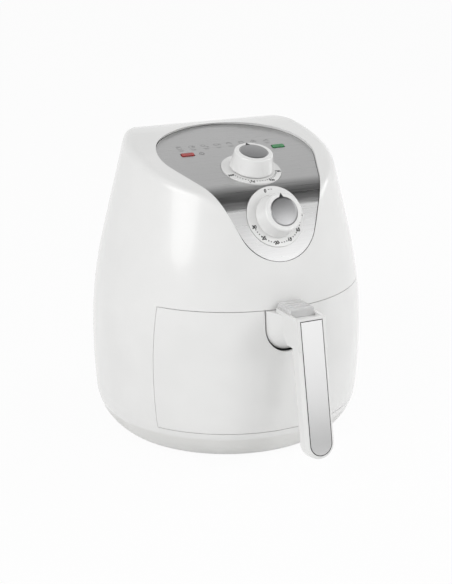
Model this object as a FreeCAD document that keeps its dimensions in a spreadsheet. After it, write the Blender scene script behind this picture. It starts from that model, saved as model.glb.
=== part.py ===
import FreeCAD, Part
import math
import os
from collections import namedtuple

import Sketcher
from FreeCAD import Placement, Rotation, Vector

# Basket hot-air fryer in millimetres. The housing is a body of revolution about a
# vertical axis, cut at the top by a bent deck that carries the control panel. The
# front is -Y, +Z is up, and the feet stand on z = 0. The whole object's box is
# centred on the origin, so the housing's own axis lies axis_shift behind it.

DRIVING = {
    # Outer form of the housing
    "body_radius": 136.0,
    "belly_height": 95.0,
    "upper_arc": 440.0,
    "taper_rise": 46.0,
    "lower_arc": 700.0,
    "corner_angle": 4.5,
    "corner_rise": 43.0,
    "housing_wall": 2.6,
    "form_rise": 166.0,
    # Heights at which the form is divided
    "foot_height": 2.5,
    "base_top": 25.0,
    "drawer_low": 31.5,
    "seam_height": 154.0,
    "seam_gap": 0.6,
    "front_deep": 61.0,
    # Deck with the control panel
    "deck_corner_in": 43.5,
    "deck_rise": 103.8,
    "deck_tilt": 17.0,
    "deck_slope": 63.0,
    "deck_bend": 40.0,
    "rim_tilt": 18.0,
    "rim_step": 1.2,
    "ridge_back": 38.0,
    "ridge_round": 60.0,
    "rear_fall": 12.0,
    "shoulder_round": 12.0,
    "panel_sheet": 1.0,
    "panel_gap": 0.6,
    "panel_back": 124.0,
    "panel_back_arc": 110.0,
    "panel_shoulder_arc": 46.0,
    "panel_half": 80.0,
    "panel_tip_arc": 42.0,
    "panel_tip": 63.0,
    # Dials, knobs and lamps
    "upper_dial_at": 39.7,
    "lower_dial_at": 25.7,
    "dial_radius": 29.0,
    "dial_proud": 1.0,
    "dial_gap": 0.3,
    "knob_base": 21.0,
    "knob_top": 18.6,
    "knob_height": 18.0,
    "knob_lift": 0.6,
    "knob_skin": 2.0,
    "disc_radius": 14.0,
    "disc_sunk": 1.0,
    "disc_sheet": 1.2,
    "shaft_radius": 3.0,
    "run_fit": 0.05,
    "shaft_grip": 11.0,
    "shaft_hole": 5.0,
    "lamp_out": 49.0,
    "lamp_up": 39.5,
    "lamp_long": 13.0,
    "lamp_wide": 5.0,
    "lamp_proud": 0.8,
    "holder_depth": 12.0,
    "thermostat_wide": 36.0,
    "thermostat_deep": 20.0,
    "timer_wide": 40.0,
    "timer_deep": 26.0,
    "collar_radius": 9.0,
    "collar_high": 2.0,
    "bell_radius": 18.0,
    "bell_height": 8.0,
    "bell_sheet": 1.0,
    # Pan, basket and chamber
    "pan_side": 36.0,
    "pan_set": 32.0,
    "pan_rear": 52.0,
    "pan_round": 45.0,
    "pan_low": 38.0,
    "pan_drop": 12.0,
    "pan_sheet": 1.5,
    "basket_gap": 6.0,
    "basket_lift": 10.5,
    "basket_drop": 10.0,
    "basket_sheet": 1.2,
    "ledge": 7.0,
    "mesh_pitch": 13.0,
    "mesh_hole": 4.5,
    "liner_side": 30.0,
    "liner_rear": 44.0,
    "liner_round": 50.0,
    "liner_low": 33.0,
    "liner_drop": 4.0,
    "liner_sheet": 1.0,
    "runner_set": 76.0,
    "runner_wide": 8.0,
    "slide_gap": 0.3,
    "front_wall": 3.0,
    "boss_at": 34.0,
    "boss_low": 62.0,
    "boss_drop": 58.0,
    "boss_radius": 6.0,
    "screw_radius": 1.75,
    "screw_head": 3.5,
    "screw_head_high": 2.4,
    # Heater, fans and motor, about the fan's own axis
    "fan_axis": 8.0,
    "shield_side": 39.0,
    "flange_wide": 11.0,
    "shield_rise": 42.0,
    "shield_sheet": 1.0,
    "insulation": 2.0,
    "element_rise": 9.0,
    "element_tube": 3.5,
    "element_in": 13.0,
    "element_step": 6.0,
    "element_bend": 12.0,
    "element_leg": 20.0,
    "terminal_rise": 12.0,
    "guard_drop": 1.0,
    "guard_sheet": 1.6,
    "guard_ring": 5.0,
    "guard_pitch": 18.0,
    "spoke_wide": 3.0,
    "fan_radius": 54.0,
    "fan_rise": 16.0,
    "fan_sheet": 1.2,
    "fan_blade": 12.0,
    "hub_radius": 8.0,
    "cooler_radius": 42.0,
    "cooler_rise": 6.0,
    "blade_sheet": 1.2,
    "bracket_rise": 16.0,
    "bracket_sheet": 2.0,
    "bracket_half": 54.0,
    "bracket_wide": 22.0,
    "post_radius": 4.0,
    "post_at": 49.0,
    "bush_radius": 7.0,
    "bush_high": 4.0,
    "stator_half": 30.0,
    "stator_deep": 24.0,
    "stator_high": 18.0,
    "rotor_radius": 13.0,
    "rotor_gap": 0.5,
    "yoke_window": 14.0,
    "yoke_leg": 8.0,
    "coil_half": 14.0,
    "coil_out": 6.0,
    "bolt_at": 24.0,
    # Outlet, gland and other inner pieces
    "outlet_half": 45.0,
    "outlet_rise": 50.0,
    "outlet_tall": 36.0,
    "outlet_gap": 0.3,
    "slot_high": 3.2,
    "slot_pitch": 6.0,
    "gland_height": 50.0,
    "gland_radius": 7.0,
    "gland_bore": 3.6,
    "gland_flange": 10.0,
    "gland_proud": 2.0,
    "flange_high": 2.4,
    "gland_inner": 14.0,
    "switch_half": 6.0,
    "block_half": 19.6,
    "block_wide": 14.0,
    "foot_radius": 9.0,
    "foot_set": 74.0,
    "lug_half": 8.0,
    "lug_set": 32.0,
    "lug_root": 42.0,
    "lug_high": 6.0,
    "joint_lug_set": 17.0,
    "joint_lug_root": 25.0,
    "stand_set": 70.0,
    "stand_rear": 90.0,
    "vent_long": 44.0,
    "vent_wide": 4.0,
    "vent_pitch": 12.0,
    # Handle with its release
    "notch_half": 23.7,
    "notch_tall": 42.0,
    "notch_gap": 1.5,
    "neck_sunk": 18.0,
    "neck_seat": 5.0,
    "waist_out": 7.0,
    "neck_waist_half": 16.5,
    "neck_out": 22.0,
    "grip_half": 14.8,
    "neck_tall": 26.0,
    "head_rise": 3.0,
    "grip_out": 39.5,
    "grip_rise": 1.0,
    "grip_length": 129.0,
    "grip_lean": 11.6,
    "grip_thick": 16.0,
    "grip_round": 4.0,
    "trim_half": 10.8,
    "trim_sheet": 1.2,
    "trim_gap": 0.8,
    "cover_sheet": 2.4,
    "cover_top": 40.0,
    "grip_skin": 3.5,
    "cover_post": 3.2,
    "guard_half": 12.0,
    "guard_foot": 1.2,
    "guard_foot_high": 1.5,
    "guard_set": 2.6,
    "guard_long": 25.6,
    "guard_rise": 4.0,
    "guard_skin": 1.6,
    "guard_travel": 12.0,
    "guard_gap": 0.3,
    "button_half": 7.0,
    "button_out": 15.0,
    "button_long": 11.8,
    "button_cap": 5.0,
    "button_gap": 0.3,
    "button_travel": 3.5,
    "stem_half": 2.5,
    "stem_out": 5.8,
    "stem_long": 6.8,
    "well_deep": 14.5,
    "bolt_drop": 21.8,
    "bolt_high": 5.6,
    "bolt_half": 5.0,
    "bolt_out": 16.0,
    "bolt_in": 24.4,
    "nose_half": 3.5,
    "keeper_in": 23.0,
    "keeper_sheet": 1.5,
    "bracket_half_wide": 14.0,
    "bracket_plate": 1.8,
    "bracket_grip": 10.0,
    "bracket_drop": 36.0,
    "spring_radius": 1.5,
    "spring_wire": 0.35,
    "spring_at": 4.9,
    "spring_turns": 5,
    "wedge_gap": 0.3,
    "wedge_high": 2.2,
    "rib_wide": 1.4,
    "rib_pitch": 6.0,
    "counterbore": 1.4,
    "cover_screw": 10.0,
    "fuse_half": 10.0,
    "fuse_wide": 4.0,
    "fuse_back": 62.0,
}

# Heights that follow the seam, distances that follow the body's radius and a foot curve
# that follows the belly's height, as formulas of the sheet.
FOLLOWING = {
    "taper_height": "seam_height + taper_rise",
    "form_top": "seam_height + form_rise",
    "front_plane": "body_radius - front_deep",
    "deck_corner_z": "seam_height + deck_rise",
    "deck_corner_y": "body_radius - deck_corner_in",
    "foot_at": "body_radius - foot_set",
    "lug_at": "body_radius - lug_set",
    "lug_in": "body_radius - lug_root",
    "joint_lug_at": "body_radius - joint_lug_set",
    "joint_lug_in": "body_radius - joint_lug_root",
    "stand_at": "body_radius - stand_set",
    "stand_back": "body_radius - stand_rear",
    "runner_at": "body_radius - runner_set",
    "base_corner": "belly_height - corner_rise",
    "pan_half": "body_radius - pan_side",
    "pan_front": "body_radius - pan_set",
    "pan_back": "body_radius - pan_rear",
    "pan_top": "seam_height - pan_drop",
    "basket_top": "seam_height - basket_drop",
    "liner_half": "body_radius - liner_side",
    "liner_back": "body_radius - liner_rear",
    "liner_top": "seam_height - liner_drop",
    "boss_high": "seam_height - boss_drop",
    "shield_radius": "body_radius - shield_side",
    "shield_flange": "shield_radius + flange_wide",
    "shield_top": "seam_height + shield_rise",
    "element_height": "seam_height + element_rise",
    "element_radius": "shield_radius - element_in",
    "element_terminal": "shield_top + terminal_rise",
    "guard_low": "seam_height - guard_drop",
    "fan_low": "seam_height + fan_rise",
    "cooler_low": "shield_top + cooler_rise",
    "bracket_low": "cooler_low + bracket_rise",
    "outlet_low": "seam_height + outlet_rise",
    "outlet_high": "outlet_low + outlet_tall",
    "gland_reach": "body_radius + gland_proud",
    "notch_low": "seam_height - notch_tall",
    "neck_back": "body_radius - neck_sunk",
    "neck_root": "body_radius - neck_seat",
    "neck_waist": "body_radius + waist_out",
    "neck_end": "body_radius + neck_out",
    "neck_end_low": "seam_height - neck_tall",
    "head_top": "seam_height + head_rise",
    "grip_front": "body_radius + grip_out",
    "grip_top": "seam_height + grip_rise",
    "guard_back": "body_radius - guard_set",
    "guard_top": "head_top + guard_rise",
    "button_front": "body_radius + button_out",
    "stem_back": "body_radius + stem_out",
    "stem_front": "stem_back + stem_long",
    "well_floor": "seam_height - well_deep",
    "bolt_low": "seam_height - bolt_drop",
    "bolt_front": "body_radius + bolt_out",
    "bolt_nose": "body_radius - bolt_in",
    "keeper_face": "body_radius - keeper_in",
}

doc = FreeCAD.newDocument("fryer")
sheet = doc.addObject("Spreadsheet::Sheet", "Sizes")
entries = {name: str(number) for name, number in DRIVING.items()}
entries.update({name: f"={formula}" for name, formula in FOLLOWING.items()})
for row, (name, entry) in enumerate(entries.items(), start=1):
    sheet.set(f"A{row}", name)
    sheet.set(f"B{row}", entry)
    sheet.setAlias(f"B{row}", name)
doc.recompute()


class Size:
    """A number together with the sheet expression that gives it."""

    def __init__(self, value, text):
        self.value = value
        self.text = text

    def __add__(self, other):
        return Size(self.value + plain(other), f"({self.text} + {written(other)})")

    def __radd__(self, other):
        return Size(plain(other) + self.value, f"({written(other)} + {self.text})")

    def __sub__(self, other):
        return Size(self.value - plain(other), f"({self.text} - {written(other)})")

    def __rsub__(self, other):
        return Size(plain(other) - self.value, f"({written(other)} - {self.text})")

    def __mul__(self, other):
        return Size(self.value * plain(other), f"({self.text} * {written(other)})")

    def __rmul__(self, other):
        return Size(plain(other) * self.value, f"({written(other)} * {self.text})")

    def __truediv__(self, other):
        return Size(self.value / plain(other), f"({self.text} / {written(other)})")

    def __neg__(self):
        return Size(-self.value, f"(0 - {self.text})")


def plain(number):
    return number.value if isinstance(number, Size) else float(number)


def written(number):
    return number.text if isinstance(number, Size) else f"({float(number):.6f})"


def root(number):
    return Size(math.sqrt(plain(number)), f"sqrt({written(number)})")


def sine(degrees):
    return Size(math.sin(math.radians(plain(degrees))), f"sin({written(degrees)} * 1 deg)")


def cosine(degrees):
    return Size(math.cos(math.radians(plain(degrees))), f"cos({written(degrees)} * 1 deg)")


def tangent(degrees):
    return Size(math.tan(math.radians(plain(degrees))), f"tan({written(degrees)} * 1 deg)")


def arcsine(number):
    return Size(math.degrees(math.asin(plain(number))), f"(asin({written(number)}) / 1 deg)")


def arctangent(number):
    return Size(math.degrees(math.atan(plain(number))), f"(atan({written(number)}) / 1 deg)")


class Sheet:
    """Reads a driving dimension by its alias."""

    def __getattr__(self, alias):
        return Size(float(sheet.get(alias)), f"Sizes.{alias}")


size = Sheet()

# A circle of a sketch. Any other loop is a list of corners (x, y) or (x, y, radius),
# where the radius rounds the stretch to the next corner: above zero it turns left.
Circle = namedtuple("Circle", "x y radius")

PLANES = {"XY": "XY_Plane", "XZ": "XZ_Plane", "YZ": "YZ_Plane"}
SUBPARTS = []


def bind(item, path, value):
    """Ties a property of an object to the sheet."""
    if isinstance(value, Size):
        item.setExpression(path, value.text)


def place(item, x=0, y=0, z=0, tilt=0):
    """Puts an object at a point, turned by tilt degrees about X."""
    point = Vector(plain(x), plain(y), plain(z))
    item.Placement = Placement(point, Rotation(Vector(1, 0, 0), plain(tilt)))
    bind(item, "Placement.Base.x", x)
    bind(item, "Placement.Base.y", y)
    bind(item, "Placement.Base.z", z)
    bind(item, "Placement.Rotation.Angle", tilt)


def tool(name, x=0, y=0, z=0, tilt=0):
    """A body used to shape other pieces, placed from the housing's axis."""
    body = doc.addObject("PartDesign::Body", name)
    body.Label = name
    place(body, x, y, z, tilt)
    return body


def subpart(name, x=0, y=0, z=0, tilt=0):
    """A body that is a piece of the object."""
    body = tool(name, x, y + AXIS_SHIFT, z, tilt)
    SUBPARTS.append(body)
    return body


def keep(item, name):
    """Makes a boolean or a group, built about the housing's axis, a piece."""
    item.Label = name
    place(item, 0, AXIS_SHIFT, 0)
    SUBPARTS.append(item)
    return item


def arc_between(start, end, radius):
    """An arc drawn anticlockwise, and whether it runs from start to end."""
    first, last = (start, end) if radius > 0 else (end, start)
    reach = abs(radius)
    half = (last - first) * 0.5
    rise = math.sqrt(max(reach * reach - half.Length ** 2, 0.0))
    side = Vector(-half.y, half.x, 0).normalize()
    centre = first + half + side * rise
    angles = [math.atan2(point.y - centre.y, point.x - centre.x) for point in (first, last)]
    if angles[1] < angles[0]:
        angles[1] += 2 * math.pi
    circle = Part.Circle(centre, Vector(0, 0, 1), reach)
    return Part.ArcOfCircle(circle, angles[0], angles[1]), radius > 0


def draw(sketch, loops):
    """Fills a sketch with loops whose corners and radii are tied to the sheet."""
    rules = []
    values = []

    def rule(value, *terms):
        rules.append(Sketcher.Constraint(*terms))
        values.append(value)

    def hold(item, point, x, y):
        for kind, value, axis in (("DistanceX", x, -2), ("DistanceY", y, -1)):
            if plain(value) == 0:
                rule(None, "PointOnObject", item, point, axis)
            else:
                rule(value, kind, -1, 1, item, point, plain(value))

    for loop in loops:
        if isinstance(loop, Circle):
            centre = Vector(plain(loop.x), plain(loop.y), 0)
            item = sketch.addGeometry(Part.Circle(centre, Vector(0, 0, 1), plain(loop.radius)))
            hold(item, 3, loop.x, loop.y)
            rule(loop.radius, "Radius", item, plain(loop.radius))
            continue
        points = [Vector(plain(corner[0]), plain(corner[1]), 0) for corner in loop]
        ends = []
        for index, corner in enumerate(loop):
            start = points[index]
            end = points[(index + 1) % len(loop)]
            radius = corner[2] if len(corner) > 2 else None
            if radius is None:
                item = sketch.addGeometry(Part.LineSegment(start, end))
                forward = True
            else:
                arc, forward = arc_between(start, end, plain(radius))
                item = sketch.addGeometry(arc)
                rule(radius if forward else -radius, "Radius", item, abs(plain(radius)))
            ends.append((item, 1, 2) if forward else (item, 2, 1))
        for index, (item, first, last) in enumerate(ends):
            following, start, unused = ends[(index + 1) % len(ends)]
            rule(None, "Coincident", item, last, following, start)
            hold(item, first, loop[index][0], loop[index][1])
    indices = sketch.addConstraint(rules)
    for index, value in zip(indices, values):
        if isinstance(value, Size):
            sketch.renameConstraint(index, f"size{index}")
            sketch.setExpression(f"Constraints.size{index}", value.text)


def sketch_in(body, plane, loops, height=0):
    """A sketch parallel to one of the body's planes, lifted along its normal."""
    support = [item for item in body.Origin.OriginFeatures if item.Role == PLANES[plane]][0]
    sketch = body.newObject("Sketcher::SketchObject", f"{body.Name}_outline")
    sketch.AttachmentSupport = [(support, "")]
    sketch.MapMode = "FlatFace"
    sketch.AttachmentOffset = Placement(Vector(0, 0, plain(height)), Rotation())
    bind(sketch, "AttachmentOffset.Base.z", height)
    draw(sketch, loops)
    return sketch


def span(plane, low, high):
    """The height of a sketch and the length of its stretch, from two places."""
    if plane == "XZ":
        return -high, high - low
    return low, high - low


def pad(body, plane, loops, low, high):
    """Adds the loops, stretched from low to high along the plane's normal."""
    height, length = span(plane, low, high)
    feature = body.newObject("PartDesign::Pad", f"{body.Name}_pad")
    feature.Profile = sketch_in(body, plane, loops, height)
    feature.Length = plain(length)
    bind(feature, "Length", length)
    return feature


def pocket(body, plane, loops, low, high):
    """Cuts the loops, stretched from low to high along the plane's normal."""
    height, length = span(plane, low, high)
    feature = body.newObject("PartDesign::Pocket", f"{body.Name}_pocket")
    feature.Profile = sketch_in(body, plane, loops, height)
    feature.Reversed = True
    feature.Length = plain(length)
    bind(feature, "Length", length)
    return feature


def revolve(body, outline):
    """Turns an outline of (radius, height) corners about the body's Z axis."""
    sketch = sketch_in(body, "XZ", [outline])
    feature = body.newObject("PartDesign::Revolution", f"{body.Name}_turn")
    feature.Profile = sketch
    feature.ReferenceAxis = (sketch, ["V_Axis"])
    feature.Angle = 360
    return feature


def repeat_round(body, feature, count):
    """Repeats a feature evenly about the body's Z axis."""
    axis = [item for item in body.Origin.OriginFeatures if item.Role == "Z_Axis"][0]
    pattern = body.newObject("PartDesign::PolarPattern", f"{body.Name}_round")
    pattern.Originals = [feature]
    pattern.Axis = (axis, [""])
    pattern.Angle = 360
    pattern.Occurrences = count
    body.Tip = pattern
    return pattern


def fillet(body, feature, radius, test):
    """Rounds the edges of a feature that pass a test."""
    doc.recompute()
    edges = feature.Shape.Edges
    names = [f"Edge{index}" for index, edge in enumerate(edges, start=1) if test(edge)]
    rounding = body.newObject("PartDesign::Fillet", f"{body.Name}_round")
    rounding.Base = (feature, names)
    rounding.Radius = plain(radius)
    bind(rounding, "Radius", radius)
    return rounding


def boolean(kind, name, base, cutter):
    """A Part boolean of two objects."""
    result = doc.addObject(f"Part::{kind}", name)
    result.Base = base
    result.Tool = cutter
    return result


def group(name, pieces):
    """Like pieces that share one node."""
    result = doc.addObject("Part::Compound", name)
    result.Links = pieces
    return keep(result, name)


def box(x0, x1, y0, y1):
    return [(x0, y0), (x1, y0), (x1, y1), (x0, y1)]


def rounded(x0, x1, y0, y1, radius):
    """A rectangle with four round corners."""
    return [
        (x0 + radius, y0), (x1 - radius, y0, radius), (x1, y0 + radius), (x1, y1 - radius, radius),
        (x1 - radius, y1), (x0 + radius, y1, radius), (x0, y1 - radius), (x0, y0 + radius, radius),
    ]


def cylinder(radius, low, high):
    """The half outline of a turned cylinder."""
    return [(0, low), (radius, low), (radius, high), (0, high)]


def tube(inner, outer, low, high):
    """The half outline of a turned ring."""
    return [(inner, low), (outer, low), (outer, high), (inner, high)]


def screw(name, x, y, z, tilt, length):
    """A screw whose head stands on z and whose shank points down its own axis."""
    body = tool(name, x, y, z, tilt)
    outline = [
        (0, -length), (size.screw_radius, -length), (size.screw_radius, 0), (size.screw_head, 0),
        (size.screw_head, size.screw_head_high), (0, size.screw_head_high),
    ]
    revolve(body, outline)
    return body


# The reach of the grip's foot to the front and of the gland to the rear centre the box.
GRIP_REACH = size.grip_front + size.grip_length * sine(size.grip_lean)
AXIS_SHIFT = (GRIP_REACH - size.gland_reach) / 2


# The form's side, from the floor up: base corner, lower arc, upper arc, straight taper.

TAPER = arcsine((size.taper_height - size.belly_height) / size.upper_arc)


def corner_joint(inset):
    reach = size.lower_arc - inset
    radius = size.body_radius - size.lower_arc + reach * cosine(size.corner_angle)
    return radius, size.belly_height - reach * sine(size.corner_angle)


def taper_joint(inset):
    reach = size.upper_arc - inset
    radius = size.body_radius - size.upper_arc + reach * cosine(TAPER)
    return radius, size.belly_height + reach * sine(TAPER)


def arc_radius(centre_radius, centre_height, radius, height):
    rise = height - centre_height
    return centre_radius + root(radius * radius - rise * rise)


def corner_radius(height, inset):
    centre_radius, centre_height = corner_joint(size.base_corner)
    return arc_radius(centre_radius, centre_height, size.base_corner - inset, height)


def lower_radius(height, inset):
    centre = size.body_radius - size.lower_arc
    return arc_radius(centre, size.belly_height, size.lower_arc - inset, height)


def upper_radius(height, inset):
    centre = size.body_radius - size.upper_arc
    return arc_radius(centre, size.belly_height, size.upper_arc - inset, height)


def taper_radius(height, inset):
    radius, start = taper_joint(inset)
    return radius - (height - start) * tangent(TAPER)


def side(inset, low, high):
    """Corners up the form's side, set in by inset from its surface."""
    joints = [corner_joint(inset), (size.body_radius - inset, size.belly_height), taper_joint(inset)]
    arcs = [size.base_corner - inset, size.lower_arc - inset, size.upper_arc - inset]
    radius_at = [corner_radius, lower_radius, upper_radius, taper_radius]
    first = len([joint for joint in joints if plain(joint[1]) < plain(low)])
    last = len([joint for joint in joints if plain(joint[1]) < plain(high)])
    corners = [(radius_at[first](low, inset), low)]
    corners += joints[first:last]
    corners.append((radius_at[last](high, inset), high))
    for index in range(len(corners) - 1):
        if first + index < len(arcs):
            corners[index] = (*corners[index], arcs[first + index])
    return corners


def back_down(corners):
    """The same side followed from its top to its foot."""
    result = []
    for index in range(len(corners) - 1, -1, -1):
        point = corners[index][:2]
        arc = corners[index - 1][2:] if index else ()
        result.append((*point, -arc[0]) if arc else point)
    return result


def shell(low, high, wall):
    """The half outline of a thin wall that follows the form."""
    return side(0, low, high) + back_down(side(wall, low, high))


def solid(inset, low, high):
    """The half outline of the full form."""
    return [(0, low), *side(inset, low, high), (0, high)]


# The deck's own frame stands on the line where its two planes meet, tilted so that the
# planes fall away evenly to the rear and to the front.

DECK_MID = (size.deck_tilt + size.deck_slope) / 2
DECK_HALF = (size.deck_slope - size.deck_tilt) / 2
DECK_Y = -size.deck_corner_y
DECK_Z = size.deck_corner_z
FAR = size.body_radius * 2
# The panel's outer face is the deck's own level.
DECK_FACE = Size(0.0, "0")
DECK_FLOOR = -size.panel_sheet
DECK_UNDER = -size.panel_sheet - size.housing_wall


def deck_region(level, above):
    """Everything above or below the deck at a level, in the deck's own frame."""
    bend = size.deck_bend + level
    apex = level / cosine(DECK_HALF)
    reach = bend * sine(DECK_HALF)
    drop = apex - bend * sine(DECK_HALF) * tangent(DECK_HALF)
    far_drop = apex - FAR * tangent(DECK_HALF)
    close = FAR if above else -FAR
    line = [(-FAR, far_drop), (-reach, drop, -bend), (reach, drop), (FAR, far_drop)]
    return line + [(FAR, close), (-FAR, close)]


def rim_line():
    """The housing's top from front to rear, in the upright frame about the axis."""
    half = (size.deck_slope - size.rim_tilt) / 2
    middle = (size.deck_slope + size.rim_tilt) / 2
    lift = size.rim_step / cosine(half)
    corner_y = DECK_Y - lift * sine(middle)
    corner_z = DECK_Z + lift * cosine(middle)
    reach = (size.deck_bend + size.rim_step) * tangent(half)
    ridge_half = (size.rim_tilt + size.rear_fall) / 2
    ridge_z = corner_z + (size.ridge_back - corner_y) * tangent(size.rim_tilt)
    ridge_reach = size.ridge_round * tangent(ridge_half)
    front = corner_z / tangent(size.deck_slope)
    rear = FAR - size.ridge_back
    return [
        (corner_y - front, 0),
        (
            corner_y - reach * cosine(size.deck_slope),
            corner_z - reach * sine(size.deck_slope),
            -(size.deck_bend + size.rim_step),
        ),
        (corner_y + reach * cosine(size.rim_tilt), corner_z + reach * sine(size.rim_tilt)),
        (
            size.ridge_back - ridge_reach * cosine(size.rim_tilt),
            ridge_z - ridge_reach * sine(size.rim_tilt),
            -size.ridge_round,
        ),
        (
            size.ridge_back + ridge_reach * cosine(size.rear_fall),
            ridge_z - ridge_reach * sine(size.rear_fall),
        ),
        (FAR, ridge_z - rear * tangent(size.rear_fall)),
        (FAR, FAR * 2),
        (corner_y - front, FAR * 2),
    ]


def cavity_line():
    """The underside of the housing's top, which leaves the wall below the panel."""
    lift = DECK_UNDER / cosine(DECK_HALF)
    corner_y = DECK_Y - lift * sine(DECK_MID)
    corner_z = DECK_Z + lift * cosine(DECK_MID)
    ridge_z = corner_z + (size.ridge_back - corner_y) * tangent(size.deck_tilt)
    rear = FAR - size.ridge_back
    front = corner_z / tangent(size.deck_slope)
    bend = size.deck_bend + DECK_UNDER
    reach = bend * tangent(DECK_HALF)
    return [
        (corner_y - front, 0),
        (corner_y - reach * cosine(size.deck_slope), corner_z - reach * sine(size.deck_slope), -bend),
        (corner_y + reach * cosine(size.deck_tilt), corner_z + reach * sine(size.deck_tilt)),
        (size.ridge_back, ridge_z),
        (FAR, ridge_z - rear * tangent(size.rear_fall)),
        (FAR, FAR * 2),
        (corner_y - front, FAR * 2),
    ]


def panel_outline(grow):
    """The panel's drop shape in the deck's frame: two shoulders, a back and a tip."""
    tip_arc = size.panel_tip_arc + grow
    tip_y = size.panel_tip_arc - size.panel_tip
    arm = size.panel_shoulder_arc + grow
    arm_x = size.panel_half - size.panel_shoulder_arc
    back_arc = size.panel_back_arc + grow
    back_y = size.panel_back - size.panel_back_arc
    apart = size.panel_back_arc - size.panel_shoulder_arc
    arm_y = back_y + root(apart * apart - arm_x * arm_x)
    lean = arctangent(arm_x / (arm_y - tip_y))
    gap = root((arm_y - tip_y) * (arm_y - tip_y) + arm_x * arm_x)
    turn = lean + arcsine((size.panel_shoulder_arc - size.panel_tip_arc) / gap)
    back = arcsine(arm_x / apart)
    right_tip = (tip_arc * cosine(turn), tip_y - tip_arc * sine(turn))
    right_arm = (arm_x + arm * cosine(turn), arm_y - arm * sine(turn))
    right_back = (back_arc * sine(back), back_y + back_arc * cosine(back))
    return [
        (0, tip_y - tip_arc, tip_arc),
        right_tip,
        (*right_arm, arm),
        (*right_back, back_arc),
        (-right_back[0], right_back[1], arm),
        (-right_arm[0], right_arm[1]),
        (-right_tip[0], right_tip[1], tip_arc),
    ]


UPPER_DIAL_Y = DECK_Y + size.upper_dial_at * cosine(size.deck_tilt)
UPPER_DIAL_Z = DECK_Z + size.upper_dial_at * sine(size.deck_tilt)
LOWER_DIAL_Y = DECK_Y - size.lower_dial_at * cosine(size.deck_slope)
LOWER_DIAL_Z = DECK_Z - size.lower_dial_at * sine(size.deck_slope)


def dial_cutter(name, y, z, tilt, loops):
    """Round and lamp openings stretched through the deck along a dial's axis."""
    cutter = tool(name, 0, y, z, tilt)
    pad(cutter, "XY", loops, -size.dial_radius, size.dial_radius)
    return cutter


def lamp_window(side_sign, grow):
    """The outline of a lamp opening beside the upper dial."""
    centre = side_sign * size.lamp_out
    half_long = size.lamp_long / 2 + grow
    half_wide = size.lamp_wide / 2 + grow
    corner = size.lamp_wide / 4
    return rounded(
        centre - half_long, centre + half_long, size.lamp_up - half_wide, size.lamp_up + half_wide, corner
    )


def is_shoulder(inset):
    """A test for the edge where the form's side meets the housing's top."""

    def test(edge):
        first, last = edge.ParameterRange
        points = [edge.valueAt(first + (last - first) * part / 4) for part in range(5)]
        heights = [point.z for point in points]
        if min(heights) < plain(size.seam_height) + 2:
            return False
        if max(heights) - min(heights) < 0.001 or edge.Curve.TypeId == "Part::GeomLine":
            return False
        joint = plain(taper_joint(inset)[1])
        for point in points:
            at = taper_radius if point.z > joint else upper_radius
            if abs(math.hypot(point.x, point.y) - plain(at(point.z, inset))) > 0.02:
                return False
        return True

    return test


# Upper housing: glossy moulded shell above the seam, with the deck's recess, the shaft
# and lamp openings, the rear outlet opening and lugs for the screws to the lower shell.

upper_form = tool("upper_form")
revolve(upper_form, solid(0, size.seam_height, size.form_top))
upper_top = pocket(upper_form, "YZ", [rim_line()], -FAR, FAR)
fillet(upper_form, upper_top, size.shoulder_round, is_shoulder(0))

upper_cavity = tool("upper_cavity")
revolve(upper_cavity, solid(size.housing_wall, size.seam_height - size.lug_high, size.form_top))
cavity_top = pocket(upper_cavity, "YZ", [cavity_line()], -FAR, FAR)
fillet(
    upper_cavity, cavity_top, size.shoulder_round - size.housing_wall, is_shoulder(size.housing_wall)
)

panel_recess = tool("panel_recess", 0, DECK_Y, DECK_Z, DECK_MID)
pad(panel_recess, "XY", [panel_outline(size.panel_gap)], -FAR / 2, FAR / 2)
pocket(panel_recess, "YZ", [deck_region(DECK_FLOOR, False)], -FAR, FAR)

upper_bores = dial_cutter(
    "upper_bores", UPPER_DIAL_Y, UPPER_DIAL_Z, size.deck_tilt,
    [Circle(0, 0, size.shaft_hole), lamp_window(-1, size.panel_gap), lamp_window(1, size.panel_gap)],
)
lower_bore = dial_cutter(
    "lower_bore", LOWER_DIAL_Y, LOWER_DIAL_Z, size.deck_slope, [Circle(0, 0, size.shaft_hole)]
)
outlet_window = tool("outlet_window")
pad(
    outlet_window, "XZ",
    [box(-size.outlet_half, size.outlet_half, size.outlet_low, size.outlet_high)], 0, FAR,
)


def lugs(name, inner, outer, low, high, hole_at, hole):
    """Three flat lugs, left, right and rear, each with a hole for a screw."""
    body = tool(name)
    half = size.lug_half
    loops = [box(inner, outer, -half, half), box(-outer, -inner, -half, half)]
    loops.append(box(-half, half, inner, outer))
    holes = [Circle(hole_at, 0, hole), Circle(-hole_at, 0, hole), Circle(0, hole_at, hole)]
    pad(body, "XY", loops + holes, low, high)
    return body


upper_shell = boolean("Cut", "upper_shell", upper_form, upper_cavity)
upper_recessed = boolean("Cut", "upper_recessed", upper_shell, panel_recess)
upper_dialled = boolean("Cut", "upper_dialled", upper_recessed, upper_bores)
upper_bored = boolean("Cut", "upper_bored", upper_dialled, lower_bore)
upper_open = boolean("Cut", "upper_open", upper_bored, outlet_window)
upper_lugs = lugs(
    "upper_lugs", size.joint_lug_in, upper_radius(size.seam_height + size.lug_high, size.housing_wall / 2),
    size.seam_height,
    size.seam_height + size.lug_high, size.joint_lug_at, size.screw_radius,
)
keep(boolean("Fuse", "upper_housing_all", upper_open, upper_lugs), "upper_housing")

# Lower housing: the same form from the base ring to the seam, open to the front where
# the drawer goes in, with lugs at its foot and at its top.

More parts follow.
